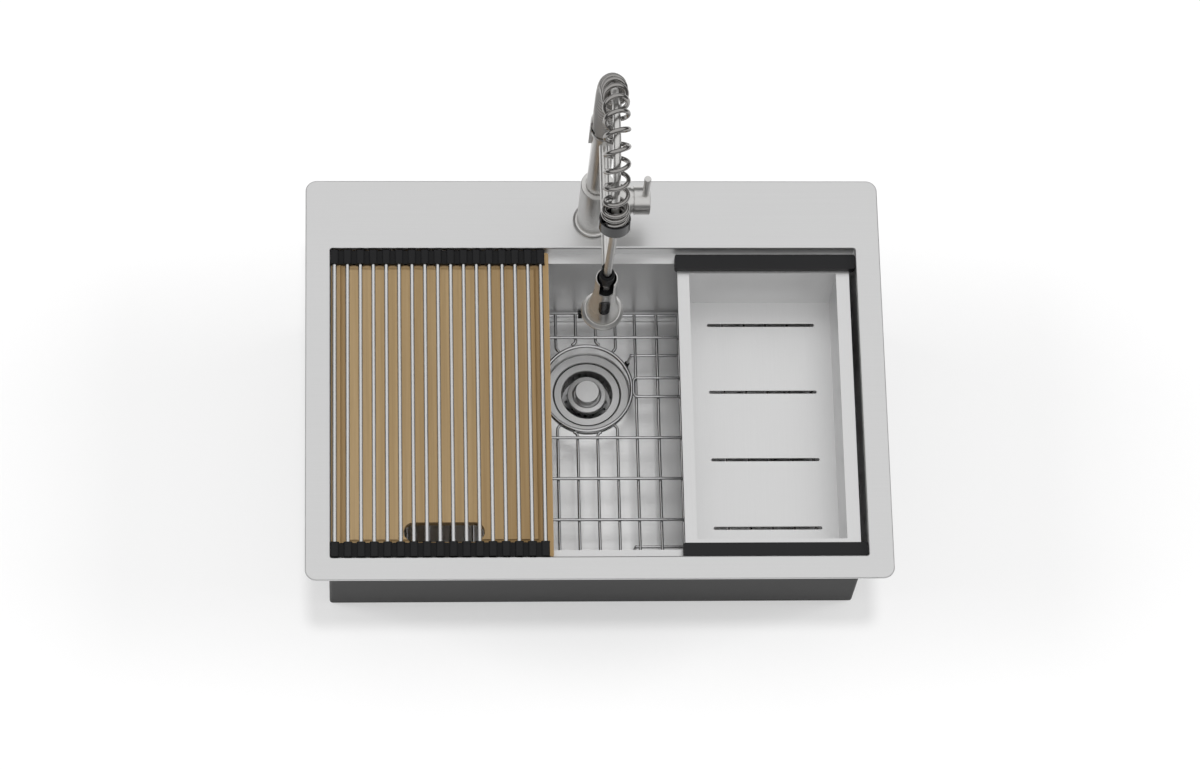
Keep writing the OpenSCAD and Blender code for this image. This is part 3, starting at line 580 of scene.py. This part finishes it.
class Wardrobe:
    """Builds each finish once and hands out its material."""

    def __init__(self) -> None:
        """Start with nothing built."""
        self.built: dict[str, bpy.types.Material] = {}

    def get(self, finish: Finish) -> bpy.types.Material:
        """Return the material of a finish, building it the first time.

        Args:
            finish: The finish.

        Returns:
            Its material.
        """
        if finish.name not in self.built:
            self.built[finish.name] = finish.material()
        return self.built[finish.name]

    def dress(self, finish: Finish, *names: str) -> None:
        """Give CAD nodes a finish.

        Args:
            finish: The finish.
            *names: The nodes.
        """
        for name in names:
            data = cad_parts[name].data
            data.materials.clear()
            data.materials.append(self.get(finish))


WARDROBE = Wardrobe()


# Mesh tools


def mesh_piece(
    name: str,
    points: Sequence[Sequence[float]],
    faces: Sequence[Sequence[int]],
    finish: Finish,
    sharp_deg: float = 35.0,
) -> bpy.types.Object:
    """Make an object from points and faces.

    Args:
        name: The object's name.
        points: The points, in metres in the row frame.
        faces: Lists of point numbers.
        finish: What the piece is made of.
        sharp_deg: Edges that bend more than this stay crisp.

    Returns:
        The object, in the scene.
    """
    data = bpy.data.meshes.new(name)
    data.from_pydata([tuple(p) for p in points], [], [tuple(f) for f in faces])
    made = bmesh.new()
    made.from_mesh(data)
    bmesh.ops.recalc_face_normals(made, faces=made.faces)
    limit = math.radians(sharp_deg)
    for face in made.faces:
        face.smooth = True
    for edge in made.edges:
        edge.smooth = len(edge.link_faces) == 2 and edge.calc_face_angle(0.0) < limit
    made.to_mesh(data)
    made.free()
    data.materials.append(WARDROBE.get(finish))
    piece = bpy.data.objects.new(name, data)
    bpy.context.scene.collection.objects.link(piece)
    return piece


def circle(sides: int) -> list[tuple[float, float]]:
    """Corners of a circle with a radius of 1.

    Args:
        sides: Number of corners.

    Returns:
        Corners as (x, y), the first on +X.
    """
    angles = [2 * math.pi * k / sides for k in range(sides)]
    return [(math.cos(a), math.sin(a)) for a in angles]


def ring_points(radius: float, centre_y: float, z: float, sides: int) -> list[Point]:
    """Corners of a level ring whose centre has x = 0.

    Args:
        radius: The ring's radius.
        centre_y: The centre's y.
        z: The ring's height.
        sides: Number of corners.

    Returns:
        The points.
    """
    return [(radius * x, centre_y + radius * y, z) for x, y in circle(sides)]


def side_faces(rings: int, sides: int) -> list[list[int]]:
    """Faces between rings of points that are numbered ring after ring.

    Args:
        rings: Number of rings.
        sides: Points in each ring.

    Returns:
        Four point numbers for each face.
    """
    return [
        [i * sides + k, i * sides + (k + 1) % sides, (i + 1) * sides + (k + 1) % sides,
         (i + 1) * sides + k]
        for i in range(rings - 1)
        for k in range(sides)
    ]


def tube_mesh(
    points: Sequence[Vector], across: Sequence[Vector], radius: float, sides: int
) -> tuple[list[Vector], list[list[int]]]:
    """Sweep a circle along a line.

    Args:
        points: The line.
        across: At each point, a direction that isn't along the line.
        radius: The circle's radius.
        sides: Its number of corners.

    Returns:
        Points and faces of the closed tube.
    """
    rings: list[Vector] = []
    corners = circle(sides)
    last = len(points) - 1
    for i, here in enumerate(points):
        ahead = (points[min(i + 1, last)] - points[max(i - 1, 0)]).normalized()
        side = ahead.cross(across[i]).normalized()
        up = side.cross(ahead)
        rings += [here + radius * (up * x + side * y) for x, y in corners]
    faces = side_faces(len(points), sides)
    faces.append(list(range(sides))[::-1])
    faces.append([last * sides + k for k in range(sides)])
    return rings, faces


def lathe_mesh(
    profile: Sequence[tuple[float, float]], centre: tuple[float, float], sides: int
) -> tuple[list[Point], list[list[int]]]:
    """Turn a closed profile round an upright axis.

    Args:
        profile: Corners as (radius, z), none on the axis.
        centre: The axis, as (x, y).
        sides: Number of steps round it.

    Returns:
        Points and faces of the closed ring.
    """
    n = len(profile)
    points = [
        (centre[0] + r * x, centre[1] + r * y, z) for x, y in circle(sides) for r, z in profile
    ]
    faces = [
        [k * n + i, k * n + (i + 1) % n, (k + 1) % sides * n + (i + 1) % n, (k + 1) % sides * n + i]
        for k in range(sides)
        for i in range(n)
    ]
    return points, faces


def prism_mesh(
    outline: Sequence[tuple[float, float]], levels: Sequence[tuple[float, float]]
) -> tuple[list[Point], list[list[int]]]:
    """Stack shrunken copies of an X-Z outline along Y, which gives rounded ends.

    Args:
        outline: Corners as (x, z).
        levels: For each copy, its y and how far it is drawn in.

    Returns:
        Points and faces of the closed prism.
    """
    n = len(outline)
    points: list[Point] = []
    for y, inset in levels:
        for i, (x, z) in enumerate(outline):
            before = Vector(outline[i - 1])
            here = Vector((x, z))
            after = Vector(outline[(i + 1) % n])
            a = (here - before).normalized()
            b = (after - here).normalized()
            normal = Vector((a.y + b.y, -(a.x + b.x))).normalized()
            moved = here - inset * normal
            points.append((moved.x, y, moved.y))
    faces = side_faces(len(levels), n)
    faces.append(list(range(n)))
    faces.append([(len(levels) - 1) * n + i for i in range(n)][::-1])
    return points, faces


# Sub-assemblies


@dataclass
class SinkBowl:
    """Rim, bowl and what fixes them to the counter."""

    satin_nodes: tuple[str, ...] = ("sink_shell",)

    def dress(self) -> None:
        """Give the sheet, coat, seal and fixings their finishes."""
        WARDROBE.dress(SATIN_SHEET, *self.satin_nodes)
        WARDROBE.dress(SOUND_COAT, "sound_coating")
        WARDROBE.dress(EPDM, "rim_gasket", "deck_washer")
        WARDROBE.dress(ZINC_STEEL, "fixing_rails", "mounting_clips", "clip_screws")


@dataclass
class Strainer:
    """Drain flange, basket, stopper and the fittings under the bowl."""

    spun_nodes: tuple[str, ...] = ("drain_flange", "strainer_basket", "stopper_knob")

    def dress(self) -> None:
        """Give the strainer's pieces their finishes."""
        WARDROBE.dress(SPUN_STEEL, *self.spun_nodes, "tailpiece", "slip_nut")
        WARDROBE.dress(
            EPDM, "drain_gasket", "tailpiece_washer", "basket_seal", "stopper_seal"
        )
        WARDROBE.dress(FIBRE, "fibre_washer")
        WARDROBE.dress(TURNED_BRASS, "drain_locknut")


@dataclass
class BottomGrid:
    """Welded wire grid on the bowl's floor, with its feet and bumpers."""

    wire_nodes: tuple[str, ...] = ("grid_frame", "grid_wires", "grid_cross_wires")

    def dress(self) -> None:
        """Give the wires and the rubber their finishes."""
        WARDROBE.dress(DRAWN_WIRE, *self.wire_nodes)
        WARDROBE.dress(EPDM, "grid_feet", "grid_bumpers")


@dataclass
class CuttingBoard:
    """Hardwood board with a juice groove and a finger slot."""

    node: str = "cutting_board"

    def dress(self) -> None:
        """Give the board its wood."""
        WARDROBE.dress(BOARD_WOOD, self.node)


@dataclass
class RollUpRack:
    """Steel rods held at both ends in silicone that folds between them."""

    rods: int = 17
    first_x: float = -0.3426
    pitch: float = 0.017
    low: float = -0.0026
    height: float = 0.0076
    web_height: float = 0.0036
    cap_half: float = 0.0052
    web_inset: float = 0.0006
    round_edge: float = 0.0006
    cap_edge: float = 0.0021
    under_share: float = 0.6
    cap_hold: float = 0.002
    web_ease: float = 0.98
    end_shares: tuple[float, ...] = (0.0, 0.15, 0.4, 1.0)
    spans: dict[str, tuple[float, float]] = field(
        default_factory=lambda: {"front": (-0.2476, -0.2275), "back": (0.1598, 0.1795)}
    )

    def cap_outline(self, x: float) -> list[tuple[float, float]]:
        """Outline of the thick part round one rod.

        Args:
            x: The rod's place.

        Returns:
            Corners as (x, z), going round once.
        """
        top = self.low + self.height
        upper, under = self.cap_edge, self.cap_edge * self.under_share
        corners: list[tuple[float, float]] = []
        for cx, cz, r, start in (
            (x + self.cap_half - upper, top - upper, upper, 0),
            (x - self.cap_half + upper, top - upper, upper, 90),
            (x - self.cap_half + under, self.low + under, under, 180),
            (x + self.cap_half - under, self.low + under, under, 270),
        ):
            for step in range(0, 91, 18):
                a = math.radians(start + step)
                corners.append((cx + r * math.cos(a), cz + r * math.sin(a)))
        return corners[::-1]

    def web_outline(self, x0: float, x1: float) -> list[tuple[float, float]]:
        """Outline of the thin part between two folds, round at both ends.

        Args:
            x0: The left fold.
            x1: The right fold.

        Returns:
            Corners as (x, z), going round once.
        """
        r = self.web_height / 2
        z = self.low + r
        corners = [
            (x + r * math.cos(math.radians(a)) * self.web_ease, z + r * math.sin(math.radians(a)))
            for x, first in ((x1, -90), (x0, 90))
            for a in range(first, first + 181, 15)
        ]
        return corners[::-1]

    def levels(self, y0: float, y1: float) -> list[tuple[float, float]]:
        """Stations along Y that round a prism's ends.

        Args:
            y0: Front end.
            y1: Back end.

        Returns:
            Pairs of y and inset.
        """
        edge = self.round_edge
        front = [
            (y0 + e, edge * (1 - math.sqrt(1 - (1 - e / edge) ** 2)))
            for e in (edge * share for share in self.end_shares)
        ]
        back = [(y1 - (y - y0), inset) for y, inset in front[::-1]]
        return front + back

    def build(self) -> None:
        """Make the silicone of each link at both ends and dress the rods."""
        links = (self.rods + 1) // 2
        for end, (y0, y1) in self.spans.items():
            for link in range(links):
                held = [i for i in (2 * link, 2 * link + 1) if i < self.rods]
                x0 = self.first_x + held[0] * self.pitch - self.pitch / 2
                x1 = self.first_x + held[-1] * self.pitch + self.pitch / 2
                if link == 0:
                    x0 = self.first_x - self.cap_half + self.cap_hold
                if link == links - 1:
                    x1 = self.first_x + held[-1] * self.pitch + self.cap_half - self.cap_hold
                inner = self.web_inset
                web = (y0, y1 - inner) if end == "front" else (y0 + inner, y1)
                points, faces = prism_mesh(self.web_outline(x0, x1), self.levels(*web))
                for i in held:
                    more, sides = prism_mesh(
                        self.cap_outline(self.first_x + i * self.pitch), self.levels(y0, y1)
                    )
                    base = len(points)
                    points = list(points) + list(more)
                    faces = list(faces) + [[base + n for n in f] for f in sides]
                piece = mesh_piece(f"rack_silicone_{end}_{link + 1}", points, faces, SILICONE, 40)
                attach(piece, f"rack_{link + 1}")
        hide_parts("rack_strip_front")
        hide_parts("rack_strip_back")
        WARDROBE.dress(DRAWN_TUBE, *[f"rack_rods_{i}" for i in range(1, links + 1)])


@dataclass
class ColanderTray:
    """Perforated steel tray with a plastic grip at each end."""

    tub: str = "colander_tray"
    grips: str = "tray_grips"

    def dress(self) -> None:
        """Give the tub and its grips their finishes."""
        WARDROBE.dress(SATIN_TRAY, self.tub)
        WARDROBE.dress(MATT_PLASTIC, self.grips)


@dataclass
class NeckLine:
    """The line that the spring and the hose follow, from the riser's top to the cup."""

    tap_y: float = 0.221
    riser_top: float = 0.300
    bend_z: float = 0.379
    half_width: float = 0.100
    rise: float = 0.156
    end_deg: float = 152.0
    steps: int = 304
    table: list[tuple[float, float]] = field(default_factory=list)

    def __post_init__(self) -> None:
        """Measure the arch once, as pairs of length and angle."""
        run = 0.0
        before = self.arch(0.0)
        for i in range(self.steps + 1):
            angle = math.radians(self.end_deg) * i / self.steps
            here = self.arch(angle)
            run += (here - before).length
            self.table.append((run, angle))
            before = here

    def arch(self, a: float) -> Vector:
        """Point of the arch at an angle.

        Args:
            a: The angle in radians.

        Returns:
            The point.
        """
        y = self.tap_y - self.half_width * (1 - math.cos(a))
        return Vector((0.0, y, self.bend_z + self.rise * math.sin(a)))

    @property
    def straight(self) -> float:
        """Length of the upright part."""
        return self.bend_z - self.riser_top

    @property
    def length(self) -> float:
        """Length from the riser's top to the arch's end."""
        return self.straight + self.table[-1][0]

    def angle_at(self, run: float) -> float:
        """Angle of the arch at a length along it.

        Args:
            run: The length from the arch's start.

        Returns:
            The angle in radians.
        """
        run = min(max(run, 0.0), self.table[-1][0])
        share = run / self.table[-1][0] * self.steps
        i = min(int(share), self.steps - 1)
        while i > 0 and self.table[i][0] > run:
            i -= 1
        while i < self.steps - 1 and self.table[i + 1][0] < run:
            i += 1
        (s0, a0), (s1, a1) = self.table[i], self.table[i + 1]
        return a0 + (a1 - a0) * (run - s0) / max(s1 - s0, 1e-9)

    def direction(self, s: float) -> Vector:
        """Direction of the line.

        Args:
            s: Length from the riser's top.

        Returns:
            A unit vector.
        """
        if s <= self.straight:
            return Vector((0.0, 0.0, 1.0))
        a = self.angle_at(s - self.straight)
        return Vector((0.0, -self.half_width * math.sin(a), self.rise * math.cos(a))).normalized()

    def point(self, s: float) -> Vector:
        """Point of the line.

        Args:
            s: Length from the riser's top.

        Returns:
            The point.
        """
        if s <= self.straight:
            return Vector((0.0, self.tap_y, self.riser_top + s))
        over = s - self.length
        if over > 0:
            return self.point(self.length) + over * self.direction(self.length)
        return self.arch(self.angle_at(s - self.straight))


@dataclass
class NeckSpring:
    """The tap's neck spring: close turns, a growing pitch, open turns, close turns.

    A gap is the space left beside one thickness of wire, and a name with "at" is a length along
    the line. At beside_at a turn crosses the line's +X side, which sets where they all stand.
    """

    line: NeckLine
    outer: float = 0.0345
    wire: float = 0.0058
    open_pitch: float = 0.0209
    close_gap: float = 0.0005
    cup_gap: float = 0.0019
    first_gap: float = 0.0022
    foot_gap: float = 0.0019
    grow_at: float = 0.054
    open_at: float = 0.226
    beside_at: float = 0.2877
    cup_length: float = 0.021
    tail: float = 0.009
    turns: float = 31.75
    rings: int = 28
    sides: int = 12
    seat: tuple[tuple[float, float], ...] = (
        (0.0128, 0.0002), (0.0172, 0.0002), (0.0174, 0.0006),
        (0.0174, 0.0044), (0.017, 0.0048), (0.0128, 0.0048),
    )
    seat_sides: int = 64

    def __post_init__(self) -> None:
        """Work out where each kind of turn begins, as a length and as a number of turns."""
        self.close_pitch: float = self.wire + self.close_gap
        self.first_at: float = self.wire + self.first_gap
        self.cup_at: float = self.line.length - self.cup_length
        self.growth: float = (self.open_pitch - self.close_pitch) / (self.open_at - self.grow_at)
        self.grow_turn: float = (self.grow_at - self.first_at) / self.close_pitch
        grown = math.log(self.open_pitch / self.close_pitch) / self.growth
        self.open_turn: float = self.grow_turn + grown
        self.cup_turn: float = self.open_turn + (self.cup_at - self.open_at) / self.open_pitch

    def length_at(self, turn: float) -> float:
        """Length along the neck at which a turn lies.

        Args:
            turn: Number of turns from the first.

        Returns:
            The length.
        """
        if turn < self.grow_turn:
            return self.first_at + turn * self.close_pitch
        if turn < self.open_turn:
            grown = math.exp((turn - self.grow_turn) * self.growth) - 1
            return self.grow_at + self.close_pitch * grown / self.growth
        if turn < self.cup_turn:
            return self.open_at + (turn - self.open_turn) * self.open_pitch
        return self.cup_at + (turn - self.cup_turn) * (self.wire + self.cup_gap)

    def build(self) -> None:
        """Make the spring as one smooth tube that stands for the CAD one."""
        beside_turn = self.open_turn + (self.beside_at - self.open_at) / self.open_pitch
        phase = -2 * math.pi * beside_turn
        radius = (self.outer - self.wire) / 2
        side = Vector((1.0, 0.0, 0.0))
        points: list[Vector] = []
        across: list[Vector] = []
        for i in range(int(self.turns * self.rings) + 1):
            turn = i / self.rings
            s = self.length_at(turn)
            out = self.line.direction(s).cross(side)
            a = phase + 2 * math.pi * turn
            spoke = math.cos(a) * side + math.sin(a) * out
            points.append(self.line.point(s) + radius * spoke)
            across.append(spoke)
        foot = points[0] - Vector((0.0, 0.0, self.wire + self.foot_gap))
        points.insert(0, foot)
        across.insert(0, across[0])
        points.append(points[-1] + self.tail * self.line.direction(self.line.length))
        across.append(across[-1])
        rings, faces = tube_mesh(points, across, self.wire / 2, self.sides)
        piece = mesh_piece("spring_coil", rings, faces, SPRING_STEEL, 60)
        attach(piece, "neck")
        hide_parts("neck_spring")
        profile = [(r, self.line.riser_top + z) for r, z in self.seat]
        corners, quads = lathe_mesh(profile, (0.0, self.line.tap_y), self.seat_sides)
        ring = mesh_piece("spring_seat", corners, quads, SPRING_STEEL)
        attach(ring, "neck")


@dataclass
class SprayHose:
    """The hose through the neck and down into the spray head."""

    line: NeckLine
    diameter: float = 0.010
    start_depth: float = 0.024
    entry_depth: float = 0.002
    knot_step: float = 0.012
    stop_short: float = 0.005
    lead_out: float = 0.014
    parts: int = 6
    sides: int = 20
    down: tuple[tuple[float, float], ...] = (
        (0.025, 0.422), (0.0254, 0.400), (0.027, 0.368), (0.029, 0.334), (0.0304, 0.304),
        (0.031, 0.284), (0.031, 0.258),
    )

    def route(self) -> list[Vector]:
        """Points that the hose runs through.

        Returns:
            A smooth line, closely spaced.
        """
        knots = [self.line.point(-self.start_depth)]
        s = -self.entry_depth
        while s < self.line.length - self.stop_short:
            knots.append(self.line.point(s))
            s += self.knot_step
        knots.append(self.line.point(self.line.length))
        knots.append(self.line.point(self.line.length + self.lead_out))
        knots += [Vector((0.0, y, z)) for y, z in self.down]
        smooth: list[Vector] = []
        for i in range(len(knots) - 1):
            p0, p1 = knots[max(i - 1, 0)], knots[i]
            p2, p3 = knots[i + 1], knots[min(i + 2, len(knots) - 1)]
            for k in range(self.parts):
                t = k / self.parts
                smooth.append(
                    0.5 * ((2 * p1) + (p2 - p0) * t + (2 * p0 - 5 * p1 + 4 * p2 - p3) * t * t
                           + (3 * p1 - p0 - 3 * p2 + p3) * t ** 3)
                )
        smooth.append(knots[-1])
        return smooth

    def build(self) -> None:
        """Make the hose, which gives between the neck and the head."""
        points = self.route()
        across = [Vector((1.0, 0.0, 0.0))] * len(points)
        rings, faces = tube_mesh(points, across, self.diameter / 2, self.sides)
        piece = mesh_piece("hose_tube", rings, faces, TAP_STEEL, 60)
        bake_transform(piece)
        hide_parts("spray_hose")


@dataclass
class Tap:
    """Body, handle, neck and spray head."""

    steel_nodes: tuple[str, ...] = (
        "base_flange", "tap_body", "handle_dome", "handle_cap", "handle_stick", "riser",
        "arm_clamp", "hose_nut", "head_ring", "water_inlets",
    )

    def dress(self) -> None:
        """Give the tap's pieces their finishes, and make its spring and hose."""
        WARDROBE.dress(TAP_STEEL, *self.steel_nodes)
        WARDROBE.dress(HEAD_STEEL, "head_shell")
        WARDROBE.dress(CRADLE_STEEL, "docking_arm")
        WARDROBE.dress(
            TURNED_BRASS, "mounting_nut", "shank", "cartridge_nut", "handle_hub"
        )
        WARDROBE.dress(GLOSS_PLASTIC, "holder_cup", "spray_button")
        WARDROBE.dress(MATT_PLASTIC, "cartridge")
        WARDROBE.dress(EPDM, "nozzle_face")
        WARDROBE.dress(ZINC_STEEL, "handle_screw")
        line = NeckLine()
        NeckSpring(line).build()
        SprayHose(line).build()


# Studio


@dataclass
class Studio:
    """Floor, white surroundings, soft light and the camera."""

    floor_z: float = -0.2268
    floor_radius: float = 14.0
    ambient: float = 0.36
    lamps: tuple[tuple[float, float, Point], ...] = (
        (1.0, 6.0, (0.0, -0.045, 1.0)),
        (1.6, 32.0, (-0.88, 0.1, 0.46)),
        (1.6, 32.0, (0.88, 0.1, 0.46)),
    )
    glow: float = 0.42
    drain_y: float = 0.0623
    pit_radius: float = 0.07
    pit_drop: float = 0.001
    pit_low: float = -0.6
    card_level: float = 0.15
    card_radius: float = 3.0
    card_lift: float = 0.002
    card_top: float = 1.75
    camera_at: Point = (-0.3198, -2.0469, 5.3406)
    elevation: float = 68.888
    yaw: float = -9.049
    roll: float = 8.342
    focal_px: float = 4369.552
    width_px: float = 1200.0

    def ray_switch(self, tree: bpy.types.NodeTree) -> Socket:
        """Light Path test for rays that should see the white background.

        Args:
            tree: The material's or world's tree.

        Returns:
            A socket that is 1 for camera, glossy and transmission rays.
        """
        path = add_node(tree, "ShaderNodeLightPath")
        first = add_node(
            tree,
            "ShaderNodeMath",
            {0: path.outputs["Is Camera Ray"], 1: path.outputs["Is Glossy Ray"]},
            operation="MAXIMUM",
        )
        both = add_node(
            tree,
            "ShaderNodeMath",
            {0: first.outputs[0], 1: path.outputs["Is Transmission Ray"]},
            operation="MAXIMUM",
        )
        return both.outputs[0]

    def build_world(self) -> None:
        """White to the camera and in reflections, plain soft light to the rest."""
        world = bpy.data.worlds.new("studio_world")
        world.use_nodes = True
        tree = world.node_tree
        tree.nodes.clear()
        level = add_node(
            tree,
            "ShaderNodeMapRange",
            {"Value": self.ray_switch(tree), "To Min": self.ambient, "To Max": WHITE_LEVEL},
        )
        light = add_node(
            tree,
            "ShaderNodeBackground",
            {"Color": (1.0, 1.0, 1.0, 1.0), "Strength": level.outputs["Result"]},
        )
        add_node(tree, "ShaderNodeOutputWorld", {"Surface": light.outputs[0]})
        bpy.context.scene.world = world

    def floor_material(self) -> bpy.types.Material:
        """Pale floor that reaches white for the camera and keeps the shadow.

        Returns:
            The material.
        """
        material, tree = new_material("studio_floor")
        plain = add_node(tree, "ShaderNodeBsdfDiffuse", {"Color": (0.8, 0.8, 0.8, 1.0)})
        pale = add_node(tree, "ShaderNodeBsdfDiffuse", {"Color": (0.96, 0.96, 0.96, 1.0)})
        white = add_node(tree, "ShaderNodeEmission", {"Strength": WHITE_LEVEL})
        part = add_node(
            tree, "ShaderNodeMixShader", {0: self.glow, 1: pale.outputs[0], 2: white.outputs[0]}
        )
        seen = add_node(
            tree,
            "ShaderNodeMixShader",
            {0: self.ray_switch(tree), 1: plain.outputs[0], 2: part.outputs[0]},
        )
        clear_from_behind(tree, seen.outputs[0])
        return material

    def set_piece(
        self,
        name: str,
        points: Sequence[Point],
        faces: Sequence[Sequence[int]],
        material: bpy.types.Material,
    ) -> bpy.types.Object:
        """Make an object of the studio.

        Args:
            name: The name of the object and of its mesh.
            points: The points, in metres.
            faces: Lists of point numbers.
            material: Its material.

        Returns:
            The object, in the scene.
        """
        data = bpy.data.meshes.new(name)
        data.from_pydata(points, [], faces)
        data.materials.append(material)
        piece = bpy.data.objects.new(name, data)
        bpy.context.scene.collection.objects.link(piece)
        return piece

    def build_floor(self) -> None:
        """Lay the floor under the bowl, with a hole where the drain goes down."""
        sides = 96
        inner = ring_points(self.pit_radius, self.drain_y, 0.0, sides)
        outer = ring_points(self.floor_radius, 0.0, 0.0, sides)
        faces = [[k, sides + k, sides + (k + 1) % sides, (k + 1) % sides] for k in range(sides)]
        floor = self.set_piece("studio_floor", inner + outer, faces, self.floor_material())
        floor.location = (0.0, 0.0, self.floor_z)

    def build_pit(self) -> None:
        """Close off the light under the drain with a dark well that is clear from outside."""
        material, tree = new_material("studio_pit")
        dark = add_node(tree, "ShaderNodeBsdfDiffuse", {"Color": (0.02, 0.02, 0.02, 1.0)})
        clear_from_behind(tree, dark.outputs[0])
        sides = 48
        top = ring_points(self.pit_radius, self.drain_y, self.floor_z - self.pit_drop, sides)
        bottom = ring_points(self.pit_radius, self.drain_y, self.pit_low, sides)
        faces = side_faces(2, sides)
        faces.append([sides + k for k in range(sides)])
        pit = self.set_piece("studio_pit", top + bottom, faces, material)

    def build_card(self) -> None:
        """Stand a grey card round the set, seen in reflections only, to draw metal edges."""
        material, tree = new_material("studio_card")
        glow = add_node(tree, "ShaderNodeEmission", {"Strength": self.card_level})
        add_node(tree, "ShaderNodeOutputMaterial", {"Surface": glow.outputs[0]})
        sides = 64
        low = ring_points(self.card_radius, 0.0, self.floor_z + self.card_lift, sides)
        high = ring_points(self.card_radius, 0.0, self.card_top, sides)
        card = self.set_piece("studio_card", low + high, side_faces(2, sides), material)
        card.visible_camera = False
        card.visible_diffuse = False
        card.visible_shadow = False
        card.visible_transmission = False

    def build_lights(self) -> None:
        """An overhead key, and a broad soft lamp low on the left and on the right."""
        for number, (energy, spread, source) in enumerate(self.lamps):
            lamp = bpy.data.lights.new(f"lamp_{number}", "SUN")
            lamp.energy = energy
            lamp.angle = math.radians(spread)
            holder = bpy.data.objects.new(f"lamp_{number}", lamp)
            holder.rotation_euler = Vector(source).to_track_quat("Z", "Y").to_euler()
            holder.visible_glossy = False
            bpy.context.scene.collection.objects.link(holder)

    def build_camera(self) -> None:
        """Set the camera where the photograph was taken from."""
        el, yaw, roll = (math.radians(v) for v in (self.elevation, self.yaw, self.roll))
        ahead = Vector((0.0, math.cos(el), -math.sin(el)))
        right = Vector((1.0, 0.0, 0.0))
        up = Vector((0.0, math.sin(el), math.cos(el)))
        turn = Matrix.Rotation(yaw, 3, "Z")
        ahead, right, up = turn @ ahead, turn @ right, turn @ up
        right, up = (
            math.cos(roll) * right + math.sin(roll) * up,
            -math.sin(roll) * right + math.cos(roll) * up,
        )
        basis = Matrix((right, up, -ahead)).transposed().to_4x4()
        data = bpy.data.cameras.new("photo_camera")
        data.sensor_fit = "HORIZONTAL"
        data.sensor_width = SENSOR_MM
        data.lens = self.focal_px * SENSOR_MM / self.width_px
        data.clip_start = 0.1
        data.clip_end = 60.0
        camera = bpy.data.objects.new("photo_camera", data)
        camera.matrix_world = Matrix.Translation(Vector(self.camera_at)) @ basis
        bpy.context.scene.collection.objects.link(camera)
        bpy.context.scene.camera = camera

    def build(self) -> None:
        """Put up the whole studio."""
        self.build_world()
        self.build_floor()
        self.build_pit()
        self.build_card()
        self.build_lights()
        self.build_camera()
        bpy.context.scene.view_settings.view_transform = "Standard"


def main() -> None:
    """Build every sub-assembly in order."""
    steps: Iterable[tuple[str, Callable[[], None]]] = (
        ("bowl and rim", SinkBowl().dress),
        ("strainer", Strainer().dress),
        ("bottom grid", BottomGrid().dress),
        ("cutting board", CuttingBoard().dress),
        ("roll-up rack", RollUpRack().build),
        ("colander tray", ColanderTray().dress),
        ("tap", Tap().dress),
        ("studio", Studio().build),
    )
    for name, step in steps:
        step()
        LOG.info("built %s", name)


if __name__ == "__main__":
    main()
